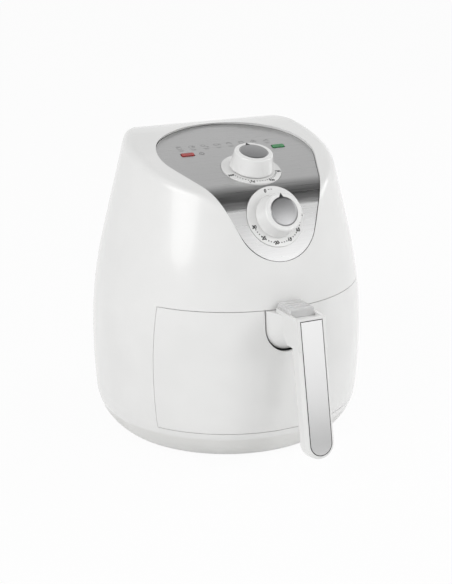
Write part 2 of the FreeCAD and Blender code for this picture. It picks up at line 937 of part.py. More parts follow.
lower_shell = tool("lower_shell")
revolve(lower_shell, shell(size.base_top, size.seam_height, size.housing_wall))
pocket(
    lower_shell, "XY", [box(-FAR, FAR, -FAR, -size.front_plane)], size.drawer_low, size.form_top
)
gland_hole = size.gland_radius + size.outlet_gap
pocket(lower_shell, "XZ", [Circle(0, size.gland_height, gland_hole)], 0, FAR)
foot_lugs = lugs(
    "foot_lugs", size.lug_in, corner_radius(size.base_top, size.housing_wall / 2), size.base_top,
    size.base_top + size.lug_high,
    size.lug_at, size.screw_radius,
)
seam_lugs = lugs(
    "seam_lugs", size.joint_lug_in, upper_radius(size.seam_height, size.housing_wall / 2),
    size.seam_height - size.lug_high,
    size.seam_height, size.joint_lug_at, size.screw_radius,
)
lower_footed = boolean("Fuse", "lower_footed", lower_shell, foot_lugs)
keep(boolean("Fuse", "lower_housing_all", lower_footed, seam_lugs), "lower_housing")

# Base tray: the dished bottom with the foot ring, vents, screw pillars and four stands
# for the chamber liner.

base_floor = size.foot_height + size.housing_wall
base_tray = subpart("base_tray")
tray_outline = [(0, size.foot_height), *side(0, size.foot_height, size.base_top)]
tray_outline += [*back_down(side(size.housing_wall, base_floor, size.base_top)), (0, base_floor)]
revolve(base_tray, tray_outline)
pillar = size.screw_head + size.housing_wall
pillars = [Circle(size.lug_at, 0, pillar), Circle(-size.lug_at, 0, pillar), Circle(0, size.lug_at, pillar)]
pad(base_tray, "XY", pillars, size.foot_height, size.base_top)
stands = [
    Circle(x * size.stand_at, y * size.stand_back, size.boss_radius) for x in (-1, 1) for y in (-1, 1)
]
pad(base_tray, "XY", stands, size.foot_height, size.liner_low)
head_sink = size.base_top - size.lug_high
heads = [Circle(spot.x, spot.y, size.screw_head + size.outlet_gap) for spot in pillars]
pocket(base_tray, "XY", heads, 0, head_sink)
shanks = [Circle(spot.x, spot.y, size.screw_radius) for spot in pillars]
pocket(base_tray, "XY", shanks, head_sink, size.base_top)
vents = [
    rounded(
        -size.vent_long / 2, size.vent_long / 2,
        step * size.vent_pitch - size.vent_wide / 2, step * size.vent_pitch + size.vent_wide / 2,
        size.vent_wide / 4,
    )
    for step in range(-2, 3)
]
pocket(base_tray, "XY", vents, 0, base_floor)

# Rubber feet: four turned pads under the tray.

feet = []
for x_sign in (-1, 1):
    for y_sign in (-1, 1):
        foot = tool("foot", x_sign * size.foot_at, y_sign * size.foot_at, 0)
        revolve(foot, cylinder(size.foot_radius, 0, size.foot_height))
        feet.append(foot)
group("rubber_feet", feet)

# Base screws go up through the tray's pillars, housing screws down through the upper
# shell's lugs.

base_screws = []
housing_screws = []
for x_sign, y_sign in ((1, 0), (-1, 0), (0, 1)):
    spot = (x_sign * size.lug_at, y_sign * size.lug_at)
    base_screws.append(screw("base_screw", *spot, head_sink, 180, size.lug_high * 2))
    spot = (x_sign * size.joint_lug_at, y_sign * size.joint_lug_at)
    height = size.seam_height + size.lug_high
    housing_screws.append(screw("housing_screw", *spot, height, 0, size.lug_high * 2))
group("base_screws", base_screws)
group("housing_screws", housing_screws)

# Outlet grille: a slotted piece of the same curved wall that fills the rear opening.

outlet_grille = subpart("outlet_grille")
outlet_low = size.outlet_low + size.outlet_gap
outlet_high = size.outlet_high - size.outlet_gap
revolve(outlet_grille, shell(outlet_low, outlet_high, size.housing_wall))
outlet_side = size.outlet_half - size.outlet_gap
pocket(outlet_grille, "XY", [box(-FAR, FAR, -FAR, size.outlet_half)], 0, size.form_top)
pocket(
    outlet_grille, "XY",
    [box(-FAR, -outlet_side, 0, FAR), box(outlet_side, FAR, 0, FAR)], 0, size.form_top,
)
slot_half = outlet_side - size.slot_high * 2
slot_middle = (size.outlet_low + size.outlet_high) / 2
slots = [
    rounded(
        -slot_half, slot_half, slot_middle + step * size.slot_pitch - size.slot_high / 2,
        slot_middle + step * size.slot_pitch + size.slot_high / 2, size.slot_high / 4,
    )
    for step in range(-2, 3)
]
pocket(outlet_grille, "XZ", slots, 0, FAR)

# Cord gland: a flanged bush in the rear of the lower housing.

cord_gland = subpart("cord_gland", 0, 0, size.gland_height, -90)
gland_face = size.gland_reach - size.flange_high
gland_end = gland_face - size.gland_inner
revolve(
    cord_gland,
    [
        (size.gland_bore, gland_end), (size.gland_radius, gland_end), (size.gland_radius, gland_face),
        (size.gland_flange, gland_face), (size.gland_flange, size.gland_reach),
        (size.gland_bore, size.gland_reach),
    ],
)

# Control panel: a bent brushed sheet in the deck's recess, with openings for both
# dials and both lamps.

panel_sheet = tool("panel_sheet", 0, DECK_Y, DECK_Z, DECK_MID)
pad(panel_sheet, "XY", [panel_outline(0)], -FAR / 2, FAR / 2)
pocket(panel_sheet, "YZ", [deck_region(DECK_FLOOR, False)], -FAR, FAR)
pocket(panel_sheet, "YZ", [deck_region(DECK_FACE, True)], -FAR, FAR)
dial_hole = size.dial_radius + size.dial_gap
panel_upper = dial_cutter(
    "panel_upper", UPPER_DIAL_Y, UPPER_DIAL_Z, size.deck_tilt,
    [Circle(0, 0, dial_hole), lamp_window(-1, size.panel_gap), lamp_window(1, size.panel_gap)],
)
panel_lower = dial_cutter(
    "panel_lower", LOWER_DIAL_Y, LOWER_DIAL_Z, size.deck_slope, [Circle(0, 0, dial_hole)]
)
panel_cut = boolean("Cut", "panel_cut", panel_sheet, panel_upper)
keep(boolean("Cut", "panel_open", panel_cut, panel_lower), "control_panel")


# Each dial is a ring plate on the recess floor. Its knob turns above it on the shaft of
# the thermostat or the timer, whose case hangs under the deck.

def dial(name, y, z, tilt):
    ring = tool(f"{name}_ring", 0, y, z, tilt)
    revolve(ring, tube(size.shaft_hole, size.dial_radius, DECK_FLOOR - FAR / 8, size.dial_proud))
    below = tool(f"{name}_below", 0, DECK_Y, DECK_Z, DECK_MID)
    pad(below, "YZ", [deck_region(DECK_FLOOR, False)], -FAR, FAR)
    keep(boolean("Cut", f"{name}_cut", ring, below), name)


def knob(name, y, z, tilt):
    low = size.dial_proud + size.knob_lift
    top = low + size.knob_height
    disc_low = top - size.disc_sunk - size.disc_sheet
    edge = size.knob_skin
    body = subpart(name, 0, y, z, tilt)
    revolve(
        body,
        [
            (size.shaft_radius, low), (size.knob_base - edge, low, edge), (size.knob_base, low + edge),
            (size.knob_top, top - edge, edge), (size.knob_top - edge, top), (size.disc_radius, top),
            (size.disc_radius, disc_low), (0, disc_low), (0, size.shaft_grip),
            (size.shaft_radius, size.shaft_grip),
        ],
    )
    disc = subpart(f"{name}_disc", 0, y, z, tilt)
    revolve(disc, cylinder(size.disc_radius, disc_low, disc_low + size.disc_sheet))


def control_shaft(name, y, z, tilt, depth):
    body = subpart(name, 0, y, z, tilt)
    revolve(body, cylinder(size.shaft_radius, DECK_UNDER - depth * 0.6, size.shaft_grip))


def control_case(name, y, z, tilt, wide, depth):
    body = subpart(name, 0, y, z, tilt)
    half = wide / 2
    bore = size.shaft_radius + size.run_fit
    case_top = DECK_UNDER - size.collar_high
    pad(body, "XY", [rounded(-half, half, -half, half, size.knob_skin)], DECK_UNDER - depth, case_top)
    pad(body, "XY", [Circle(0, 0, size.collar_radius)], DECK_UNDER - depth, DECK_UNDER)
    pocket(body, "XY", [Circle(0, 0, bore)], DECK_UNDER - depth * 0.6 - size.run_fit, DECK_UNDER)


dial("temperature_dial", UPPER_DIAL_Y, UPPER_DIAL_Z, size.deck_tilt)
dial("timer_dial", LOWER_DIAL_Y, LOWER_DIAL_Z, size.deck_slope)
knob("temperature_knob", UPPER_DIAL_Y, UPPER_DIAL_Z, size.deck_tilt)
knob("timer_knob", LOWER_DIAL_Y, LOWER_DIAL_Z, size.deck_slope)
control_shaft("thermostat_shaft", UPPER_DIAL_Y, UPPER_DIAL_Z, size.deck_tilt, size.thermostat_deep)
control_shaft("timer_shaft", LOWER_DIAL_Y, LOWER_DIAL_Z, size.deck_slope, size.timer_deep)
control_case(
    "thermostat_body", UPPER_DIAL_Y, UPPER_DIAL_Z, size.deck_tilt, size.thermostat_wide,
    size.thermostat_deep,
)
control_case(
    "timer_body", LOWER_DIAL_Y, LOWER_DIAL_Z, size.deck_slope, size.timer_wide, size.timer_deep
)

# Timer bell: a small cup screwed to the back of the timer's case.

timer_bell = subpart("timer_bell", 0, LOWER_DIAL_Y, LOWER_DIAL_Z, size.deck_slope)
bell_top = DECK_UNDER - size.timer_deep
bell_low = bell_top - size.bell_height
revolve(
    timer_bell,
    [
        (0, bell_top - size.bell_sheet), (size.bell_radius - size.bell_sheet, bell_top - size.bell_sheet),
        (size.bell_radius - size.bell_sheet, bell_low), (size.bell_radius, bell_low),
        (size.bell_radius, bell_top), (0, bell_top),
    ],
)

# Pilot lamps: a lens in each opening of the panel and a holder under the deck.

holders = []
for lamp_name, sign in (("power_lamp_lens", -1), ("heating_lamp_lens", 1)):
    lens = subpart(lamp_name, 0, UPPER_DIAL_Y, UPPER_DIAL_Z, size.deck_tilt)
    pad(lens, "XY", [lamp_window(sign, 0)], DECK_UNDER, size.lamp_proud)
    holder = tool("lamp_holder", 0, UPPER_DIAL_Y, UPPER_DIAL_Z, size.deck_tilt)
    pad(holder, "XY", [lamp_window(sign, size.housing_wall)], DECK_UNDER - size.holder_depth, DECK_UNDER)
    holders.append(holder)
group("lamp_holders", holders)

# Chamber liner: a folded steel channel, open to the front and at the top, that the pan
# slides into. Two runners on its floor carry the pan.


def channel(half, back, radius, front):
    """A plan outline with a straight front and a round-cornered back."""
    return [
        (-half, front), (half, front), (half, back - radius, radius), (half - radius, back),
        (radius - half, back, radius), (-half, back - radius),
    ]


chamber_liner = subpart("chamber_liner")
sheet_in = size.liner_sheet
pad(
    chamber_liner, "XY",
    [channel(size.liner_half, size.liner_back, size.liner_round, -size.front_plane)],
    size.liner_low, size.liner_top,
)
pocket(
    chamber_liner, "XY",
    [channel(size.liner_half - sheet_in, size.liner_back - sheet_in, size.liner_round - sheet_in, -FAR)],
    size.liner_low + sheet_in, size.form_top,
)

runners = []
for sign in (-1, 1):
    runner = tool("runner")
    middle = sign * size.runner_at
    half = size.runner_wide / 2
    pad(
        runner, "XY",
        [box(middle - half, middle + half, -size.front_plane, size.pan_back - size.pan_round)],
        size.liner_low + sheet_in, size.pan_low - size.slide_gap,
    )
    runners.append(runner)
group("drawer_runners", runners)

# Drawer switch: a closed microswitch on the outside of the liner.

drawer_switch = subpart("drawer_switch")
switch_half = size.switch_half
pad(
    drawer_switch, "XY",
    [box(size.liner_half, size.liner_half + switch_half * 2, -switch_half * 2, switch_half * 2)],
    size.belly_height, size.belly_height + switch_half * 4,
)

# Terminal block: stands on the tray inside the gland.

terminal_block = subpart("terminal_block")
block_wide = size.block_wide
pad(
    terminal_block, "XY",
    [box(-size.block_half, size.block_half, size.stand_at, size.stand_at + block_wide)],
    base_floor, base_floor + block_wide,
)

# Pan: a deep-drawn pan with four dimples that the basket stands on.

pan = subpart("pan")
wall = size.pan_sheet
pan_floor = size.pan_low + wall
basket_low = size.pan_low + wall + size.basket_lift
pad(
    pan, "XY",
    [rounded(-size.pan_half, size.pan_half, -size.pan_front, size.pan_back, size.pan_round)],
    size.pan_low, size.pan_top,
)
pocket(
    pan, "XY",
    [
        rounded(
            wall - size.pan_half, size.pan_half - wall, wall - size.pan_front, size.pan_back - wall,
            size.pan_round - wall,
        )
    ],
    pan_floor, size.form_top,
)
dimple_x = size.pan_half - size.pan_round
dimples = [
    Circle(sign * dimple_x, y, size.boss_radius)
    for sign in (-1, 1)
    for y in (size.pan_round - size.pan_front, size.pan_back - size.pan_round)
]
pad(pan, "XY", dimples, size.pan_low, basket_low)
pan_holes = [
    Circle(sign * size.boss_at, height, size.screw_radius)
    for sign in (-1, 1)
    for height in (size.boss_low, size.boss_high)
]
pocket(pan, "XZ", pan_holes, -FAR, -size.pan_front + wall * 2)

# Basket: a plain wall with a ledge turned in at its foot, and a perforated bottom on
# the ledge.

inner = wall + size.basket_gap
basket_half = size.pan_half - inner
basket_front = size.pan_front - inner
basket_back = size.pan_back - inner
basket_round = size.pan_round - inner
thin = size.basket_sheet


def basket_outline(inset):
    return rounded(
        inset - basket_half, basket_half - inset, inset - basket_front, basket_back - inset,
        basket_round - inset,
    )


basket = subpart("basket")
pad(basket, "XY", [basket_outline(0)], basket_low, size.basket_top)
pocket(basket, "XY", [basket_outline(thin)], basket_low + thin, size.form_top)
pocket(basket, "XY", [basket_outline(thin + size.ledge)], 0, basket_low + thin)

basket_mesh = subpart("basket_mesh")
mesh_low = basket_low + thin
mesh_middle = (basket_back - basket_front) / 2
mesh_rows = 5
mesh_holes = []
for column in range(-mesh_rows, mesh_rows + 1):
    for line in range(-mesh_rows, mesh_rows + 1):
        if abs(column) + abs(line) < 2 * mesh_rows - 2:
            mesh_holes.append(
                Circle(column * size.mesh_pitch, mesh_middle + line * size.mesh_pitch, size.mesh_hole)
            )
pad(basket_mesh, "XY", [basket_outline(thin)] + mesh_holes, mesh_low, mesh_low + thin)

# Basket bracket: an angle riveted to the basket's front that reaches over the pan's rim
# into the handle's neck.

plate = size.bracket_plate
bracket_low = size.pan_top + size.slide_gap
bracket_front = size.neck_back + size.bracket_grip
basket_bracket = subpart("basket_bracket")
pad(
    basket_bracket, "YZ",
    [
        [
            (-basket_front, bracket_low + plate - size.bracket_drop), (-basket_front, bracket_low + plate),
            (-bracket_front, bracket_low + plate), (-bracket_front, bracket_low),
            (-basket_front - plate, bracket_low),
            (-basket_front - plate, bracket_low + plate - size.bracket_drop),
        ]
    ],
    -size.bracket_half_wide, size.bracket_half_wide,
)
rivets = []
for sign in (-1, 1):
    height = bracket_low + plate - size.bracket_drop / 2
    spot = (sign * size.bracket_half_wide / 2, -basket_front - plate, height)
    rivet = tool("rivet", *spot, 90)
    revolve(rivet, cylinder(size.screw_head, 0, plate))
    rivets.append(rivet)
group("basket_rivets", rivets)

# Drawer front: the front cap of the form, with the notch for the handle's neck and four
# bosses that the pan is screwed to.

front_shell = tool("front_shell")
front_low = size.drawer_low + size.seam_gap
front_high = size.seam_height - size.seam_gap
revolve(front_shell, shell(front_low, front_high, size.front_wall))
front_edge = size.front_plane + size.seam_gap
pocket(front_shell, "XY", [box(-FAR, FAR, -front_edge, FAR)], 0, size.form_top)


def notch_outline(half, low, top):
    """A U-shaped outline with a round foot."""
    middle = low + half
    return [(-half, top), (-half, middle, half), (0, low, half), (half, middle), (half, top)]


pocket(
    front_shell, "XZ", [notch_outline(size.notch_half, size.notch_low, size.form_top)],
    -FAR, -size.front_plane,
)
front_bosses = tool("front_bosses")
boss_loops = [Circle(hole.x, hole.y, size.boss_radius) for hole in pan_holes]
pad(front_bosses, "XZ", boss_loops + pan_holes, -size.body_radius, -size.pan_front)
front_form = tool("front_form")
revolve(front_form, solid(size.front_wall / 2, size.drawer_low, size.seam_height))
boss_ends = boolean("Common", "boss_ends", front_bosses, front_form)
keep(boolean("Fuse", "drawer_front_all", front_shell, boss_ends), "drawer_front")

pan_screws = []
for hole in pan_holes:
    pan_screws.append(
        screw("pan_screw", hole.x, wall - size.pan_front, hole.y, -90, size.boss_radius * 2)
    )
group("pan_screws", pan_screws)

# Latch keeper: a plate between the upper bosses with a window for the bolt's nose.

latch_keeper = subpart("latch_keeper")
keeper_back = size.keeper_face
keeper_front = size.keeper_face + size.keeper_sheet
bolt_top = size.bolt_low + size.bolt_high
window = box(
    -size.nose_half - size.guard_gap, size.nose_half + size.guard_gap,
    size.bolt_low - size.guard_gap, bolt_top + size.guard_gap,
)
keeper_half = size.notch_half - size.notch_gap
pad(
    latch_keeper, "XZ",
    [
        box(-keeper_half, keeper_half, size.boss_high + size.boss_radius, bolt_top + plate),
        window,
    ],
    -keeper_front, -keeper_back,
)
pad(
    latch_keeper, "XY", [box(-keeper_half, keeper_half, -keeper_front, -size.pan_front)],
    size.boss_high + size.boss_radius, size.boss_high + size.boss_radius + plate,
)

# Handle: the neck fills the notch, narrows to the head, and the hollow grip hangs from
# the head, leaning outwards. The head holds the guard's groove, the button's well, the
# bolt's channel and the slot for the basket bracket.

neck_half = size.notch_half - size.notch_gap
neck_low = size.notch_low + size.notch_gap
neck_top = size.seam_height - size.seam_gap
neck = tool("neck")
pad(
    neck, "XZ", [notch_outline(neck_half, neck_low, neck_top)], -size.neck_root, -size.neck_back
)
loft = neck.newObject("PartDesign::AdditiveLoft", "neck_loft")
waist_low = (neck_low + size.neck_end_low) / 2
loft.Profile = sketch_in(neck, "XZ", [notch_outline(neck_half, neck_low, neck_top)], size.neck_root)
loft.Sections = [
    sketch_in(neck, "XZ", [notch_outline(size.neck_waist_half, waist_low, neck_top)], size.neck_waist),
    sketch_in(neck, "XZ", [notch_outline(size.grip_half, size.neck_end_low, neck_top)], size.neck_end),
]
lean = tangent(size.grip_lean)
head_front = size.grip_front - (size.head_top - size.grip_top) * lean
head_foot = size.grip_front + (size.grip_top - size.neck_end_low) * lean
pad(
    neck, "YZ",
    [
        [
            (-size.body_radius, neck_top - size.button_cap), (-size.body_radius, size.head_top),
            (-head_front, size.head_top), (-head_foot, size.neck_end_low),
            (-size.neck_end, size.neck_end_low),
        ]
    ],
    -size.grip_half, size.grip_half,
)

groove_floor = neck_top
foot_low = groove_floor + size.guard_gap
foot_top = foot_low + size.guard_foot_high
groove_front = size.guard_back + size.guard_long + size.guard_travel + size.guard_gap
foot_half = size.guard_half + size.guard_foot
groove_half = foot_half + size.guard_gap
mouth_half = size.guard_half + size.guard_gap
mouth_low = foot_top + size.guard_gap
groove = tool("groove")
pad(
    groove, "XZ",
    [
        [
            (-groove_half, groove_floor), (groove_half, groove_floor), (groove_half, mouth_low),
            (mouth_half, mouth_low), (mouth_half, size.form_top), (-mouth_half, size.form_top),
            (-mouth_half, mouth_low), (-groove_half, mouth_low),
        ]
    ],
    -groove_front, -size.neck_root,
)
gap = size.button_gap
button_back = size.button_front - size.button_long
pocket(
    neck, "XY",
    [
        box(
            -size.button_half - gap, size.button_half + gap, -size.button_front - gap, -button_back + gap
        )
    ],
    size.well_floor, size.form_top,
)
pocket(
    neck, "XY",
    [box(-size.stem_half - gap, size.stem_half + gap, -size.stem_front - gap, -size.stem_back + gap)],
    size.bolt_low - gap, size.well_floor,
)
channel_front = size.bolt_front + size.button_travel + gap
pocket(
    neck, "XZ",
    [box(-size.bolt_half - gap, size.bolt_half + gap, size.bolt_low - gap, bolt_top + gap)],
    -channel_front, -size.neck_back,
)
pocket(
    neck, "XZ",
    [box(-size.bracket_half_wide, size.bracket_half_wide, bracket_low, bracket_low + plate)],
    -bracket_front, -size.neck_back,
)

GRIP = (0, -size.grip_front, size.grip_top, -size.grip_lean)


def grip_outline(half, top, foot):
    """The grip's front view in its own frame, with a round foot."""
    middle = half - foot
    return [(half, top), (-half, top), (-half, middle, half), (0, -foot, half), (half, middle)]


def on_face(depth):
    """A test for edges that lie on a face of the grip."""

    def test(edge):
        return all(abs(vertex.Y - plain(depth)) < 0.001 for vertex in edge.Vertexes)

    return test


def on_rounded_face(depth):
    """A test for the grip's long edges, without the edge at its top."""
    lies = on_face(depth)

    def test(edge):
        return lies(edge) and not all(abs(vertex.Z) < 0.001 for vertex in edge.Vertexes)

    return test


grip = tool("grip", *GRIP)
grip_pad = pad(grip, "XZ", [grip_outline(size.grip_half, 0, size.grip_length)], 0, size.grip_thick)
front_round = fillet(grip, grip_pad, size.grip_round, on_rounded_face(0))
fillet(grip, front_round, size.grip_round, on_rounded_face(size.grip_thick))
hollow_half = size.grip_half - size.grip_skin
hollow_foot = size.grip_length - size.grip_skin
pocket(
    grip, "XZ", [grip_outline(hollow_half, -size.cover_top, hollow_foot)],
    size.grip_skin, size.grip_thick,
)
cover_screw_heights = [-size.cover_top - hollow_half, -hollow_foot + hollow_half]
posts = [Circle(0, height, size.cover_post) for height in cover_screw_heights]
pad(grip, "XZ", posts, size.grip_skin / 2, size.grip_thick - size.cover_sheet)
pilots = [Circle(0, height, size.screw_radius) for height in cover_screw_heights]
pilot_end = size.grip_thick - size.counterbore - size.cover_screw
pocket(grip, "XZ", pilots, pilot_end, size.grip_thick)

trim_foot = size.grip_length - size.grip_half + size.trim_half
trim_recess = tool("trim_recess", *GRIP)
pad(
    trim_recess, "XZ",
    [grip_outline(size.trim_half + size.trim_gap, 0, trim_foot + size.trim_gap)],
    -size.grip_thick, size.trim_sheet,
)
handle_joined = boolean("Fuse", "handle_joined", neck, grip)
handle_grooved = boolean("Cut", "handle_grooved", handle_joined, groove)
keep(boolean("Cut", "handle_all", handle_grooved, trim_recess), "handle")

# Handle trim: a silver insert in the front of the grip.

handle_trim = subpart("handle_trim", GRIP[0], GRIP[1], GRIP[2], GRIP[3])
pad(
    handle_trim, "XZ", [grip_outline(size.trim_half, -size.trim_gap, trim_foot)],
    0, size.trim_sheet,
)

# Handle back cover: closes the hollow grip from behind, with two screws.

handle_back_cover = subpart("handle_back_cover", GRIP[0], GRIP[1], GRIP[2], GRIP[3])
cover_half = hollow_half - size.seam_gap / 2
cover_low = size.grip_thick - size.cover_sheet
pad(
    handle_back_cover, "XZ",
    [grip_outline(cover_half, -size.cover_top - size.seam_gap / 2, hollow_foot - size.seam_gap / 2)],
    cover_low, size.grip_thick,
)
pocket(handle_back_cover, "XZ", pilots, 0, size.grip_thick)
head_seat = size.grip_thick - size.counterbore
sinks = [Circle(0, height, size.screw_head + size.trim_gap) for height in cover_screw_heights]
pocket(handle_back_cover, "XZ", sinks, head_seat, size.grip_thick)
handle_screws = []
for height in cover_screw_heights:
    back = -size.grip_front + head_seat * cosine(size.grip_lean) + height * sine(size.grip_lean)
    up = size.grip_top - head_seat * sine(size.grip_lean) + height * cosine(size.grip_lean)
    handle_screws.append(screw("handle_screw", 0, back, up, -90 - size.grip_lean, size.cover_screw))
group("handle_screws", handle_screws)

# Button guard: a clear ribbed cap whose foot runs in the head's groove.

guard_front = size.guard_back + size.guard_long
button_guard = subpart("button_guard")
pad(
    button_guard, "XZ",
    [
        [
            (-foot_half, foot_low), (foot_half, foot_low), (foot_half, foot_top),
            (size.guard_half, foot_top),
            (size.guard_half, size.guard_top), (-size.guard_half, size.guard_top),
            (-size.guard_half, foot_top), (-foot_half, foot_top),
        ]
    ],
    -guard_front, -size.guard_back,
)
clear_half = size.guard_half - size.guard_skin
pocket(
    button_guard, "XY",
    [box(-clear_half, clear_half, size.guard_skin - guard_front, -size.guard_back - size.guard_skin)],
    0, size.guard_top - size.guard_skin,
)
guard_middle = -size.guard_back - size.guard_long / 2
rib_cuts = [
    box(
        -FAR, FAR, guard_middle + step * size.rib_pitch - size.rib_wide / 2,
        guard_middle + step * size.rib_pitch + size.rib_wide / 2,
    )
    for step in (-1, 0, 1)
]
pocket(button_guard, "XY", rib_cuts, size.guard_top - size.guard_skin / 2, size.form_top)

# Release button: a cap in the well with a wedge-ended stem.

button_top = groove_floor
cap_low = button_top - size.button_cap
release_button = subpart("release_button")
pad(
    release_button, "XY",
    [box(-size.button_half, size.button_half, -size.button_front, -button_back)], cap_low, button_top,
)
wedge_front = size.wedge_gap - size.stem_front
pad(
    release_button, "YZ",
    [
        [
            (wedge_front, cap_low + size.button_cap / 2), (wedge_front, bolt_top),
            (wedge_front + size.wedge_high, bolt_top - size.wedge_high),
            (-size.stem_back, bolt_top - size.wedge_high), (-size.stem_back, cap_low + size.button_cap / 2),
        ]
    ],
    -size.stem_half, size.stem_half,
)

# Release latch: a bolt in the neck's channel. The stem's wedge bears on the sloping
# front of its slot and draws it to the front by as much as the button goes down.

release_latch = subpart("release_latch")
pad(
    release_latch, "XY",
    [box(-size.bolt_half, size.bolt_half, -size.bolt_front, -size.neck_back)], size.bolt_low, bolt_top,
)
pad(
    release_latch, "XY",
    [box(-size.nose_half, size.nose_half, -size.neck_back - size.bolt_half, -size.bolt_nose)],
    size.bolt_low, bolt_top,
)
slot_back = size.button_travel + size.wedge_gap - size.stem_back
pocket(
    release_latch, "YZ",
    [
        [
            (-size.stem_front, bolt_top), (size.bolt_high - size.stem_front, size.bolt_low),
            (slot_back, size.bolt_low), (slot_back, bolt_top),
        ]
    ],
    -size.stem_half - gap, size.stem_half + gap,
)


# Wound and bent tubes are swept along straight runs and arcs.

def swept(name, edges, radius):
    """A round tube along a chain of edges."""
    path = Part.Wire(edges)
    start = edges[0].valueAt(edges[0].FirstParameter)
    direction = edges[0].tangentAt(edges[0].FirstParameter)
    profile = Part.Wire([Part.makeCircle(radius, start, direction)])
    tube_shape = path.makePipeShell([profile], True, False)
    feature = doc.addObject("Part::Feature", name)
    feature.Shape = tube_shape
    return feature


def least_gap(points, radius, apart):
    """The least free distance between parts of a tube that lie apart along it."""
    reach = [
        points[first].distanceToPoint(points[last])
        for first in range(len(points))
        for last in range(first + apart, len(points))
    ]
    return min(reach) - 2 * radius


# Release springs: two small coils between the well's floor and the button's cap.

def helix_point(turn, x, y, low, pitch):
    angle = turn * 2 * math.pi
    reach = plain(size.spring_radius)
    return Vector(x + reach * math.cos(angle), y + reach * math.sin(angle), low + pitch * turn)


springs = []
spring_low = plain(size.well_floor + size.spring_wire)
spring_pitch = plain((cap_low - size.well_floor - 2 * size.spring_wire) / size.spring_turns)
spring_y = plain(-(size.button_front + button_back) / 2)
quarters = round(plain(size.spring_turns) * 4)
for sign in (-1, 1):
    coil_x = sign * plain(size.spring_at)
    stops = [
        helix_point(step / 8, coil_x, spring_y, spring_low, spring_pitch) for step in range(2 * quarters + 1)
    ]
    arcs = [
        Part.Arc(stops[2 * step], stops[2 * step + 1], stops[2 * step + 2]).toShape()
        for step in range(quarters)
    ]
    springs.append(swept("spring", arcs, plain(size.spring_wire)))
print("spring gap", round(least_gap(stops, plain(size.spring_wire), 5), 2))
group("release_springs", springs)

# Heat shield: a spun steel dish over the basket, with a flange on the liner's top.

FAN_Y = -size.fan_axis
heat_shield = subpart("heat_shield", 0, FAN_Y)
skin = size.shield_sheet
shield_inner = size.shield_radius - skin
revolve(
    heat_shield,
    [
        (size.shaft_hole, size.shield_top - skin), (shield_inner, size.shield_top - skin),
        (shield_inner, size.liner_top), (size.shield_flange, size.liner_top),
        (size.shield_flange, size.liner_top + skin), (size.shield_radius, size.liner_top + skin),
        (size.shield_radius, size.shield_top), (size.shaft_hole, size.shield_top),
    ],
)
leg_end = size.element_radius - 4 * size.element_step
leg_hole = size.element_tube + size.slide_gap
leg_spots = [Circle(size.element_radius, size.element_leg, leg_hole)]
leg_spots.append(Circle(-leg_end, size.element_leg, leg_hole))
pocket(heat_shield, "XY", leg_spots, size.shield_top - skin * 2, size.form_top)

# Insulation disc: lies on the shield under the motor's posts.

insulation_disc = subpart("insulation_disc", 0, FAN_Y)
insulation_top = size.shield_top + size.insulation
revolve(
    insulation_disc,
    tube(size.shaft_hole, size.shield_radius - skin * 2, size.shield_top, insulation_top),
)
post_spots = [Circle(sign * size.post_at, 0, size.post_radius) for sign in (-1, 1)]
post_holes = [Circle(spot.x, spot.y, spot.radius + size.slide_gap) for spot in post_spots]
pocket(insulation_disc, "XY", leg_spots + post_holes, 0, size.form_top)

# Heating element: one bent tube of one and a half turns, with both legs up through
# the shield.


def element_edges():
    radius = plain(size.element_radius)
    step = plain(size.element_step)
    height = plain(size.element_height)
    bend = plain(size.element_bend)
    leg = plain(size.element_leg)
    top = plain(size.element_terminal)
    axis_y = plain(FAN_Y)
    lower = bend * (1 - math.sqrt(0.5))

    def at(x, y, z):
        return Vector(x, axis_y + y, z)

    def rise(x):
        return Part.Arc(
            at(x, leg, height + bend), at(x, leg - lower, height + lower), at(x, leg - bend, height)
        ).toShape()

    end = plain(leg_end)
    second = radius - 2 * step
    edges = [
        Part.LineSegment(at(radius, leg, top), at(radius, leg, height + bend)).toShape(),
        rise(radius),
        Part.LineSegment(at(radius, leg - bend, height), at(radius, 0, height)).toShape(),
        Part.Arc(at(radius, 0, height), at(0, -radius, height), at(-radius, 0, height)).toShape(),
        Part.Arc(
            at(-radius, 0, height), at(-step, radius - step, height), at(second, 0, height)
        ).toShape(),
        Part.Arc(at(second, 0, height), at(step, step - second, height), at(-end, 0, height)).toShape(),
        Part.LineSegment(at(-end, 0, height), at(-end, leg - bend, height)).toShape(),
        rise(-end),
        Part.LineSegment(at(-end, leg, height + bend), at(-end, leg, top)).toShape(),
    ]
    return edges


keep(swept("element_tube", element_edges(), plain(size.element_tube)), "heating_element")

# Element guard: rings and spokes below the element.

element_guard = subpart("element_guard", 0, FAN_Y)
guard_radius = shield_inner - size.slide_gap
guard_high = size.guard_low + size.guard_sheet
guard_rings = []
for step in range(4):
    ring_out = guard_radius - step * size.guard_pitch
    guard_rings += [Circle(0, 0, ring_out), Circle(0, 0, ring_out - size.guard_ring)]
pad(element_guard, "XY", guard_rings, size.guard_low, guard_high)
spoke = size.spoke_wide / 2
spoke_end = guard_radius - size.guard_ring / 2
pad(element_guard, "XY", [box(-spoke_end, spoke_end, -spoke, spoke)], size.guard_low, guard_high)
pad(element_guard, "XY", [box(-spoke, spoke, -spoke_end, spoke_end)], size.guard_low, guard_high)

# Motor: two bearing brackets hold a stack with its coil; the lower one stands on posts.

motor_posts = tool("posts", 0, FAN_Y)
pad(motor_posts, "XY", post_spots, size.shield_top, size.bracket_low)
group("motor_posts", [motor_posts])
stack_low = size.bracket_low + size.bracket_sheet
stack_top = stack_low + size.stator_high
bolt_spots = [Circle(sign * size.bolt_at, 0, size.screw_radius) for sign in (-1, 1)]


